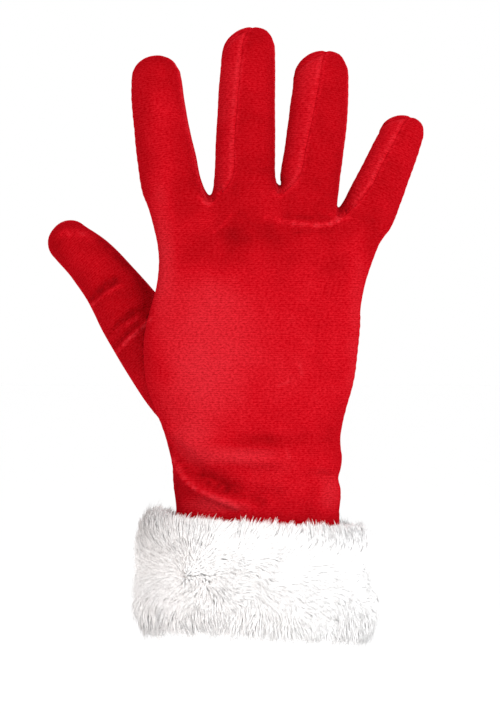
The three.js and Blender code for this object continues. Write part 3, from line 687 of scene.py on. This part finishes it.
def open_edges(faces):
    """Directed edges that no face runs back along."""
    edges = directed_edges(faces)
    seen = set(map(tuple, edges))
    return np.array([e for e in map(tuple, edges) if (e[1], e[0]) not in seen])


def point_tree(points):
    tree = kdtree.KDTree(len(points))
    for i, point in enumerate(points):
        tree.insert(point, i)
    tree.balance()
    return tree


def distance_to(points, targets):
    tree = point_tree(targets)
    return np.array([tree.find(p)[2] for p in points])


def groove(distance, along):
    """The lift of the cloth beside a seam."""
    gathers = np.cos(2 * np.pi * along / GATHER_PITCH) * bell(distance, GATHER_REACH)
    return GATHER_HEIGHT * gathers - GROOVE_DEPTH * bell(distance, GROOVE_WIDTH)


def thick_panel(name, skin, piece):
    """A panel of cloth with its inner side one wall further in, and the edges between. Its neighbours meet it
    at the seams."""
    chosen = skin.piece == piece
    faces, cloth = skin.faces[chosen], skin.cloth[chosen]
    edges = open_edges(faces)
    used, local = np.unique(faces, return_inverse=True)
    faces = local.reshape(-1, 4)
    outer = skin.places[used]
    place = {v: i for i, v in enumerate(used)}
    inner = outer - WALL * skin.normals[used]
    n = len(used)
    rim = np.array([[place[b], place[a]] for a, b in edges])
    walls = np.column_stack([rim[:, 0], rim[:, 1], rim[:, 1] + n, rim[:, 0] + n])
    corner_cloth = np.zeros((n, 2))
    corner_cloth[faces.reshape(-1)] = cloth.reshape(-1, 2)
    all_faces = np.concatenate([faces, faces[:, ::-1] + n, walls])
    all_cloth = np.concatenate([cloth, cloth[:, ::-1], corner_cloth[walls % n]])
    obj = mesh_object(name, np.concatenate([outer, inner]), all_faces, all_cloth)
    mark_sharp(obj, {tuple(sorted(e)) for e in [*rim.tolist(), *(rim + n).tolist()]})
    return obj


def linked(name, data):
    obj = bpy.data.objects.new(name, data)
    bpy.context.scene.collection.objects.link(obj)
    return obj


def mesh_object(name, places, faces, cloth=None):
    """A smooth mesh from places in mm. A face whose corners coincide becomes a triangle."""
    polygons, corners = [], []
    for i, face in enumerate(faces.tolist()):
        keep = [k for k in range(len(face)) if face[k] != face[k - 1]]
        if len(keep) < 3:
            continue
        polygons.append([face[k] for k in keep])
        corners.extend((i, k) for k in keep)
    mesh = bpy.data.meshes.new(name)
    mesh.from_pydata((places * MM).tolist(), [], polygons)
    mesh.shade_smooth()
    if cloth is not None:
        layer = mesh.uv_layers.new(name="cloth")
        chosen = cloth[tuple(np.array(corners).T)] * MM
        layer.uv.foreach_set("vector", chosen.astype(np.float32).ravel())
    mesh.update()
    return linked(name, mesh)


def mark_sharp(obj, edges):
    """Keeps those edges, as sorted pairs of vertices, sharp in a smooth mesh."""
    mesh = obj.data
    sharp = mesh.attributes.new("sharp_edge", "BOOLEAN", "EDGE")
    flags = [tuple(sorted(e.vertices)) in edges for e in mesh.edges]
    sharp.data.foreach_set("value", flags)


def distance_from(path, spots):
    """How far each (x, z) spot is from a path."""
    path = np.array(path, float)
    nearest = np.full(len(spots), np.inf)
    for a, b in zip(path, path[1:]):
        share = np.clip((spots - a) @ (b - a) / ((b - a) @ (b - a)), 0, 1)
        nearest = np.minimum(nearest, np.linalg.norm(spots - a - share[:, None] * (b - a), axis=1))
    return nearest


def brush_and_paint_light(obj, seam, level):
    """Writes the level of the velvet's pile at each vertex of a velvet piece: how far it is raised, with
    painted highlights and painted shade added by patches, strokes and lines along the seams.
    """
    mesh = obj.data
    count = len(mesh.vertices)
    places, normals = np.zeros(3 * count), np.zeros(3 * count)
    mesh.vertices.foreach_get("co", places)
    mesh.vertices.foreach_get("normal", normals)
    places = places.reshape(-1, 3) / MM
    facing = smoothstep(-normals.reshape(-1, 3)[:, 1], *NAP_AND_LIGHT_FACING)
    spots = places[:, [0, 2]]
    nap_and_painted_light = np.full(count, level)
    broken_up = BREAKUP_LEVEL + BREAKUP_SWING * noise_at(places, BREAKUP_SIZE)
    for row in NAP_AND_LIGHT_PATCHES:
        reach = ((spots - (row.x, row.z)) / (row.across, row.along)) ** 2
        nap_and_painted_light += row.amount * facing * np.exp(-(reach.sum(axis=1) ** PATCH_FALLOFF))
    for row in NAP_AND_LIGHT_STROKES:
        nap_and_painted_light += row.amount * broken_up * facing * bell(distance_from(row.path, spots), row.width)
    away = distance_to(places, seam)
    nap_and_painted_light += SEAM_FRAY_AND_HIGHLIGHT.amount * broken_up * bell(away - SEAM_FRAY_AND_HIGHLIGHT.away, SEAM_FRAY_AND_HIGHLIGHT.width)
    nap_and_painted_light += SEAM_PRESS_AND_SHADE.amount * bell(away - SEAM_PRESS_AND_SHADE.away, SEAM_PRESS_AND_SHADE.width)
    mesh.attributes.new("nap_and_painted_light", "FLOAT", "POINT").data.foreach_set("value", nap_and_painted_light.astype(np.float32))


def hand_skin():
    """The outer surface of the back panel, the palm panel and the side strips, numbered in that order."""
    grids = []
    for k, face in enumerate(("back", "palm")):
        lows, highs = zip(*(face_columns(finger, face) for finger in range(len(LIMBS))))
        lay_cloth(lows, highs)
        for columns in (*lows, *highs):
            grids.append((k, grid_faces(columns if face == "back" else columns[::-1])))
    for web in range(len(WEBS)):
        lines = web_lines(web, np.arange(SIDE_COLUMNS + 1) / SIDE_COLUMNS)
        grids.append((FIRST_STRIP + web, grid_faces(lines[:, STRIP_TIP_ROWS:-STRIP_TIP_ROWS])))
    return Skin(grids)


def thumb_skin():
    limb = Limb(THUMB, THUMB_TIP)
    angles = np.arange(THUMB_COLUMNS + 1) * 360 / THUMB_COLUMNS
    rings = np.stack([limb.point(r, angles % 360) for r in range(len(limb.rings))], axis=1)
    tips = np.broadcast_to(limb.tip, (len(angles), 1, 3))
    steps = [max(2, round(span / ROW_STEP)) for span in np.diff(limb.lengths)]
    across = (angles / 360 * THUMB_GIRTH)[:, None]
    full = with_cloth(np.concatenate([rings, tips], axis=1), across, limb.lengths)
    return Skin([(0, grid_faces(spline(full, positions(steps))))])


def filled(name, skin, grow):
    """The closed solid inside a skin that is moved out by grow."""
    points = skin.places + skin.normals * grow
    rim = open_edges(skin.faces)
    hub = len(points)
    points = np.concatenate([points, points[rim[:, 0]].mean(axis=0)[None]])
    caps = [[b, a, hub, hub] for a, b in rim.tolist()]
    return mesh_object(name, points, np.concatenate([skin.faces, np.array(caps)]))


def cut(obj, cutter):
    """Takes the cutter's space out of obj, and deletes the cutter."""
    modifier = obj.modifiers.new("cut", "BOOLEAN")
    modifier.operation = "DIFFERENCE"
    modifier.solver = "MANIFOLD"
    modifier.object = cutter
    made = bpy.data.meshes.new_from_object(obj.evaluated_get(bpy.context.evaluated_depsgraph_get()))
    obj.modifiers.clear()
    obj.data = made
    bpy.data.objects.remove(cutter)


def tree_of(skin):
    return BVHTree.FromPolygons(skin.places.tolist(), skin.faces.tolist())


def near_surface(points, tree):
    return np.array([tree.find_nearest(Vector(p))[3] for p in points])


def along_of(skin):
    along = np.zeros(len(skin.places))
    along[skin.faces.reshape(-1)] = skin.cloth[..., 1].reshape(-1)
    return along


def make_glove():
    """The six velvet pieces."""
    hand, thumb = hand_skin(), thumb_skin()
    held = np.zeros(len(hand.places), bool)
    held[np.unique(hand.faces[hand.piece >= FIRST_STRIP])] = True
    height = hand.places[:, 2]
    near_roots = smoothstep(height, *SMOOTHING_IN) * (1 - smoothstep(height, *SMOOTHING_OUT))
    hand.relax(np.where(held, 0, near_roots), SMOOTHING_ROUNDS)
    hand.lift(relief_at(hand.places, hand.normals, RELIEF + CREASES))
    thumb.lift(relief_at(thumb.places, thumb.normals, THUMB_RELIEF))
    hand_tree, thumb_tree = tree_of(hand), tree_of(thumb)
    owners = {}
    for v, piece in zip(hand.faces.reshape(-1), np.repeat(hand.piece, 4)):
        owners.setdefault(v, set()).add(piece)
    seam = hand.places[[v for v, pieces in owners.items() if len(pieces) > 1]]
    seam_distance = distance_to(hand.places, seam)
    seam_distance = np.minimum(seam_distance, near_surface(hand.places, thumb_tree))
    free = smoothstep(hand.places[:, 2], *CLOTH_FREE)
    hand.lift((groove(seam_distance, along_of(hand)) + uneven(hand.places)) * free)
    thumb.lift(groove(near_surface(thumb.places, hand_tree), along_of(thumb)) + uneven(thumb.places))

    names = ["back_panel", "palm_panel", *("fourchette_" + web.name for web in WEBS)]
    pieces = {name: thick_panel("velvet_" + name, hand, k) for k, name in enumerate(names)}
    pieces["thumb"] = thick_panel("velvet_thumb", thumb, 0)
    cut(pieces["thumb"], filled("hand_space", hand, JOIN_GAP))
    cut(pieces["palm_panel"], filled("thumb_space", thumb, -WALL))
    # the nap of each piece, with its painted highlights and painted shade; the side strips are painted
    # lighter
    for name, piece in pieces.items():
        brush_and_paint_light(piece, seam, NAP_LEVEL + STRIP_PAINTED_LIGHT * name.startswith("fourchette"))
    return pieces


def cuff_places(turn):
    """The inner face of the cuff at those turns round it, and which way is out: two (n, 2) arrays."""
    a = 2 * np.pi * turn
    wrist = HAND[0]
    reach = np.array([wrist.right + CUFF_GAP, wrist.back + CUFF_GAP])
    round_cos = np.sign(np.cos(a)) * np.abs(np.cos(a)) ** wrist.round
    inner = np.stack([reach[0] * np.sin(a), -reach[1] * round_cos], axis=-1)
    out = np.stack([np.sin(a) / reach[0], -np.cos(a) / reach[1]], axis=-1)
    return inner, unit(out)


def cuff_core():
    """The cloth backing that the pile stands on."""
    turn = np.arange(CORE_COLUMNS) / CORE_COLUMNS
    inner, out = cuff_places(turn)
    section = np.array(CORE_SECTION)
    flat = inner[:, None] + out[:, None] * section[:, :1]
    heights = section[:, 1] - CUFF_SLOPE * flat[..., 0]
    places = np.concatenate([flat, heights[..., None]], axis=-1)
    rows = len(section)
    index = np.arange(CORE_COLUMNS * rows).reshape(CORE_COLUMNS, rows)
    right = np.roll(index, -1, axis=0)
    faces = np.stack([index, right, np.roll(right, -1, axis=1), np.roll(index, -1, axis=1)], axis=-1)
    obj = mesh_object("fur_backing", places.reshape(-1, 3), faces.reshape(-1, 4))
    obj.modifiers.new("round", "SUBSURF").levels = 1
    return obj


def pile_flow(places, share):
    """Which way the pile lies, as amounts sideways and up the cuff's section."""
    turn = sum(amount * noise_at(places, size) for size, amount in SWIRLS)
    climb = (share - LEVEL_SHARE) * CLIMB_RATE + CLIMB_SWIRL * turn
    climb = np.pi / 2 * np.clip(climb, -CLIMB_LIMIT, CLIMB_LIMIT)
    up, sideways = np.sin(climb), np.cos(climb)
    sideways *= np.clip((places[:, 0] - PARTING_X) / PARTING_HALF + turn, -1, 1)
    sin, cos = np.sin(SWIRL_TURN * turn), np.cos(SWIRL_TURN * turn)
    flow = np.stack([sideways * cos - up * sin, sideways * sin + up * cos], axis=-1)
    flow *= FLOW / np.maximum(np.linalg.norm(flow, axis=1, keepdims=True), LEAST_FLOW)
    rim = smoothstep(np.abs(share - 0.5), *RIM)
    flow *= (1 - rim)[:, None]
    flow[:, 0] += TOP_SWEEP * smoothstep(share, *TOP_SHARE) * (TOP_SWEEP_LEVEL + turn)
    return flow


def strand_lines(rng):
    """The middle line of each strand of pile at three points of its length: (strands, 3, 3), which way is
    out of the cuff there, and its turn."""
    section = np.array(CORE_SECTION)
    spans = np.linalg.norm(np.diff(section, axis=0), axis=1)
    at = np.concatenate([[0], np.cumsum(spans)]) / spans.sum()
    turn = rng.random(STRAND_COUNT)
    share = mix(*STRAND_ROOTS, rng.random(STRAND_COUNT))

    def on_section(s):
        return np.stack([np.interp(s, at, section[:, k]) for k in range(2)], axis=-1)

    inner, out = cuff_places(turn)
    root = on_section(share)
    ahead, behind = np.minimum(share + SLOPE_STEP, 1), np.maximum(share - SLOPE_STEP, 0)
    slope = unit(on_section(ahead) - on_section(behind))
    flat = inner + out * root[:, :1]
    start = np.concatenate([flat, (root[:, 1] - CUFF_SLOPE * flat[:, 0])[:, None]], axis=-1)
    side = np.stack([-out[:, 1], out[:, 0], np.full(STRAND_COUNT, -CUFF_SLOPE)], axis=-1)
    up = np.concatenate([out * slope[:, :1], slope[:, 1:]], axis=-1)
    away = np.concatenate([out * np.maximum(slope[:, 1:], LEAST_OUTWARD), -slope[:, :1]], axis=-1)

    spot = np.stack([turn * CUFF_GIRTH, share * spans.sum(), np.zeros(STRAND_COUNT)], axis=-1)
    tuft_count = int(CUFF_GIRTH * spans.sum() / TUFT_SPACING**2)
    tufts = rng.random((tuft_count, 3)) * [CUFF_GIRTH, spans.sum(), 0]
    tree = point_tree(tufts)
    owner = np.array([tree.find(p)[1] for p in spot])
    to_tuft = (tufts[owner] - spot)[:, :2] * TUFT_PULL
    lean = rng.normal(0, TUFT_LEAN, (tuft_count, 2))[owner]
    lean += rng.normal(0, STRAND_LEAN, (STRAND_COUNT, 2))
    length = STRAND_LENGTH * rng.uniform(*TUFT_LENGTHS, tuft_count)[owner]
    length *= rng.uniform(*STRAND_LENGTHS, STRAND_COUNT)
    length *= np.where(rng.random(STRAND_COUNT) < LONG_SHARE, LONG_LENGTH, 1)
    level = np.linalg.norm(away[:, :2], axis=1)
    length *= 1 + CORNER_LENGTH * smoothstep(level * np.abs(away[:, 2]), *CORNER)
    length *= 1 + THUMB_SIDE_LENGTH * smoothstep(-start[:, 0], *THUMB_SIDE)

    flow = pile_flow(start, share)
    lying = np.linalg.norm(flow, axis=1)
    tangent = flow + lean
    lines = []
    for t in (0.0, 0.5, 1.0):
        rise = length * (RISE * t - DROOP * lying * t**2)
        run = length[:, None] * tangent * (RUN * t + BEND * t**2) + to_tuft * t**1.5
        lines.append(start + away * rise[:, None] + side * run[:, :1] + up * run[:, 1:])
    return np.stack(lines, axis=1), away, turn


def strand_mesh(name, lines, away):
    """Closed, three-sided, tapered strands joined into one mesh, shaded much as the surface they cover."""
    count = len(lines)
    direction = unit(lines[:, 1] - lines[:, 0])
    first = unit(np.cross(direction, [0.31, 0.52, 0.79]))  # any direction that no strand runs along
    second = np.cross(direction, first)
    rings, facing = [], []
    for k, radius in enumerate(STRAND_RADII):
        for corner in range(3):
            a = 2 * np.pi * corner / 3
            side = np.cos(a) * first + np.sin(a) * second
            rings.append(lines[:, k] + radius * side)
            facing.append(side)
    places = np.stack([*rings, lines[:, 2]], axis=1)
    normals = mix(np.stack([*facing, direction], axis=1), away[:, None], STRAND_SOFTNESS)
    normals = unit(normals.reshape(-1, 3))
    each = places.shape[1]
    tip = each - 1
    faces = [[2, 1, 0]]
    for a, b in ((0, 1), (1, 2), (2, 0)):
        faces += [[a, b, b + 3], [a, b + 3, a + 3], [a + 3, b + 3, tip]]
    index = (np.array(faces) + each * np.arange(count)[:, None, None]).reshape(-1, 3)
    mesh = bpy.data.meshes.new(name)
    mesh.vertices.add(count * each)
    mesh.vertices.foreach_set("co", (places * MM).astype(np.float32).ravel())
    mesh.loops.add(index.size)
    mesh.loops.foreach_set("vertex_index", index.astype(np.int32).ravel())
    mesh.polygons.add(len(index))
    mesh.polygons.foreach_set("loop_start", np.arange(0, index.size, 3, dtype=np.int32))
    mesh.update(calc_edges=True)
    mesh.shade_smooth()
    mesh.normals_split_custom_set_from_vertices(normals.tolist())
    return linked(name, mesh)


def make_cuff():
    lines, away, turn = strand_lines(np.random.default_rng(SEED))
    sector = (turn * STRAND_SECTORS).astype(int)
    pile = []
    for k in range(STRAND_SECTORS):
        here = sector == k
        pile.append(strand_mesh(f"fur_pile_{k + 1}", lines[here], away[here]))
    return [cuff_core(), *pile]


class Nodes:
    """Short forms for building a material's nodes."""

    def __init__(self, name):
        self.material = bpy.data.materials.new(name)
        self.material.use_nodes = True
        self.tree = self.material.node_tree
        self.shader = self.tree.nodes["Principled BSDF"]

    def surface(self, inputs):
        for key, value in inputs.items():
            self.put(self.shader.inputs[key], value)

    def add(self, kind, settings=None, inputs=None):
        node = self.tree.nodes.new(kind)
        for key, value in (settings or {}).items():
            setattr(node, key, value)
        for key, value in (inputs or {}).items():
            self.put(node.inputs[key], value)
        return node

    def put(self, socket, value):
        if isinstance(value, bpy.types.NodeSocket):
            self.tree.links.new(value, socket)
        else:
            socket.default_value = value

    def noise(self, vector, scale, detail=2.0, roughness=0.5):
        inputs = {"Vector": vector, "Scale": scale, "Detail": detail, "Roughness": roughness}
        return self.add("ShaderNodeTexNoise", inputs=inputs).outputs["Fac"]

    def ramp(self, value, low, high, out_low=0.0, out_high=1.0):
        inputs = {"Value": value, "From Min": low, "From Max": high, "To Min": out_low, "To Max": out_high}
        smooth = {"interpolation_type": "SMOOTHSTEP"}
        return self.add("ShaderNodeMapRange", smooth, inputs).outputs["Result"]

    def math(self, operation, a, b=0.0):
        node = self.add("ShaderNodeMath", {"operation": operation})
        self.put(node.inputs[0], a)
        self.put(node.inputs[1], b)
        return node.outputs["Value"]

    def mix_colour(self, share, a, b, blend="MIX"):
        node = self.add("ShaderNodeMix", {"data_type": "RGBA", "blend_type": blend})
        self.put(node.inputs["Factor"], share)
        self.put(node.inputs["A"], a)
        self.put(node.inputs["B"], b)
        return node.outputs["Result"]


RIB_PITCH = 0.81  # of the cross ribs of the knit
NAP_AND_LIGHT_COLOURS = [  # level of the nap, with its painted highlights and painted shade, and its colour; the darkest stop is painted shade for creases and hollows
    (0.0, (0.120, 0.0001, 0.0008, 1)),
    (0.25, (0.230, 0.0001, 0.0017, 1)),
    (0.45, (0.280, 0.0001, 0.0026, 1)),
    (1.0, (0.286, 0.0072, 0.0114, 1)),
]
FLECK = (0.17, 0.0082, 0.0124, 1)  # what a raised fleck of nap adds
RIB_WAVER = 2.4  # how far the ribs waver, in radians of their phase
WAVER_SCALE = 90
GRAIN_SCALE = (950, 1500, 1)
CLOUD_SCALE = 75
CLOUD_AMOUNT = 0.45  # how far the clouds shift the level of the nap
RIB_FLECK = 0.16  # how far the ribs show in the flecks
FLECKING = (0.1, 0.9, 0.36, 1.3)  # two levels of the nap and its painted light, and how strong the flecks are at each
RIB_HEIGHT = 0.4
GRAIN_HEIGHT = 0.8
WARM_SCALE = 160
WHITE = (0.985, 0.975, 0.97, 1)
WARM_WHITE = (0.98, 0.96, 0.95, 1)


def velvet():
    """Stretch velvet: fine cross ribs, and a pile that is lighter and more grained where it is raised and
    where a highlight is painted on, and darker where shade is painted in.
    """
    m = Nodes("velvet")
    cloth = m.add("ShaderNodeUVMap", {"uv_map": "cloth"}).outputs["UV"]
    place = m.add("ShaderNodeTexCoord").outputs["Object"]
    # the nap's level, with painted highlights and painted shade in it
    nap_and_painted_light = m.add("ShaderNodeAttribute", {"attribute_name": "nap_and_painted_light"}).outputs["Fac"]
    split = m.add("ShaderNodeSeparateXYZ", inputs={"Vector": cloth})
    rib_phase = m.math("MULTIPLY", split.outputs["Y"], 2 * np.pi / (RIB_PITCH * MM))
    waver = m.math("MULTIPLY", m.noise(place, WAVER_SCALE), RIB_WAVER)
    ribs = m.math("SINE", m.math("ADD", rib_phase, waver))
    stretched = m.add("ShaderNodeMapping", inputs={"Vector": cloth, "Scale": GRAIN_SCALE})
    grain = m.ramp(m.noise(stretched.outputs["Vector"], 1.0, 3, 0.6), 0.28, 0.72)
    clouds = m.math("SUBTRACT", m.noise(place, CLOUD_SCALE, 3, 0.6), 0.5)
    level = m.math("ADD", nap_and_painted_light, m.math("MULTIPLY", clouds, CLOUD_AMOUNT))
    tone = m.add("ShaderNodeValToRGB", inputs={"Fac": level})
    stops = tone.color_ramp.elements
    for between in (0.5, 0.6):  # two more stops, which the table then moves
        stops.new(between)
    for stop, (position, colour) in zip(stops, NAP_AND_LIGHT_COLOURS):
        stop.position, stop.color = position, colour
    flecks = m.math("ADD", grain, m.math("MULTIPLY", ribs, RIB_FLECK))
    flecks = m.math("MULTIPLY", flecks, m.ramp(level, *FLECKING))
    rib_height = m.math("MULTIPLY", ribs, RIB_HEIGHT)
    height = m.math("ADD", rib_height, m.math("MULTIPLY", grain, GRAIN_HEIGHT))
    bump = m.add("ShaderNodeBump", inputs={"Height": height, "Distance": 0.00010, "Strength": 0.6})
    m.surface({
        "Base Color": m.mix_colour(flecks, tone.outputs["Color"], FLECK, "ADD"),
        "Roughness": 0.7,
        "Specular IOR Level": 0.0,
        "Sheen Weight": 0.4,
        "Sheen Roughness": 0.4,
        "Sheen Tint": (1.0, 0.010, 0.028, 1),
        "Normal": bump.outputs["Normal"],
    })
    return m.material


def plush():
    """White pile, faintly warm between its tufts."""
    m = Nodes("plush")
    place = m.add("ShaderNodeTexCoord").outputs["Object"]
    warm = m.ramp(m.noise(place, WARM_SCALE), 0.35, 0.7)
    m.surface({
        "Base Color": m.mix_colour(warm, WHITE, WARM_WHITE),
        "Roughness": 0.7,
        "Sheen Weight": 0.9,
        "Sheen Roughness": 0.9,
        "Specular IOR Level": 0.3,
        "Subsurface Weight": 0.45,
        "Subsurface Radius": (1.0, 0.95, 0.93),
        "Subsurface Scale": 0.001,
    })
    return m.material


def dress(obj, material, slot, *nodes):
    obj.data.materials.clear()
    obj.data.materials.append(material)
    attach(obj, "root")
    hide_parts(*nodes)


# The photograph's frame, worked out from its scale on the object's middle plane
MM_PER_PIXEL = 0.385
PHOTO_WIDTH = 500
PHOTO_HEIGHT = 714
ORIGIN_PIXEL = (257.5, 626)  # where the row's origin lies in the photograph
CAMERA_DISTANCE = 1.8
SENSOR = 24  # mm
FLOOR_Z = -0.15
FLOOR_HALF = 40
LAMP_TARGET = (0, 0, 0.1)


def look_at(obj, target):
    obj.rotation_euler = (Vector(target) - obj.location).to_track_quat("-Z", "Y").to_euler()


def make_camera():
    centre_x = (PHOTO_WIDTH / 2 - ORIGIN_PIXEL[0]) * MM_PER_PIXEL * MM
    centre_z = (ORIGIN_PIXEL[1] - PHOTO_HEIGHT / 2) * MM_PER_PIXEL * MM
    data = bpy.data.cameras.new("camera")
    camera = linked("camera", data)
    data.sensor_fit = "VERTICAL"
    data.sensor_height = SENSOR
    data.lens = SENSOR * CAMERA_DISTANCE / (PHOTO_HEIGHT * MM_PER_PIXEL * MM)
    camera.location = (centre_x, -CAMERA_DISTANCE, centre_z)
    look_at(camera, (centre_x, 0, centre_z))
    bpy.context.scene.camera = camera


def area_light(name, place, size, power, colour=(1, 1, 1)):
    data = bpy.data.lights.new(name, "AREA")
    data.shape = "DISK"
    data.size = size
    data.energy = power
    data.color = colour
    light = linked(name, data)
    light.location = place
    look_at(light, LAMP_TARGET)


def make_studio():
    area_light("key", (0.88, -1.23, 0.63), 0.8, 19.5)
    area_light("fill", (-1.28, -1.02, 0.53), 1.2, 7, (1, 0.8, 0.72))
    world = bpy.data.worlds.new("studio")
    bpy.context.scene.world = world
    world.use_nodes = True
    background = world.node_tree.nodes["Background"]
    background.inputs["Color"].default_value = (1, 1, 1, 1)
    background.inputs["Strength"].default_value = 1.0
    bpy.context.scene.view_settings.view_transform = "Standard"
    corners = [(-1, -1), (1, -1), (1, 1), (-1, 1)]
    mesh = bpy.data.meshes.new("floor")
    mesh.from_pydata([(x * FLOOR_HALF, y * FLOOR_HALF, FLOOR_Z) for x, y in corners], [], [(0, 1, 2, 3)])
    floor = linked("floor", mesh)
    m = Nodes("floor")
    m.surface({"Base Color": (1, 1, 1, 1), "Roughness": 1.0})
    mesh.materials.append(m.material)


def main():
    make_camera()
    make_studio()
    red, white = velvet(), plush()
    for node, obj in make_glove().items():
        dress(obj, red, "velvet", node)
    for obj in make_cuff():
        dress(obj, white, "fur", "fur_cuff")


main()
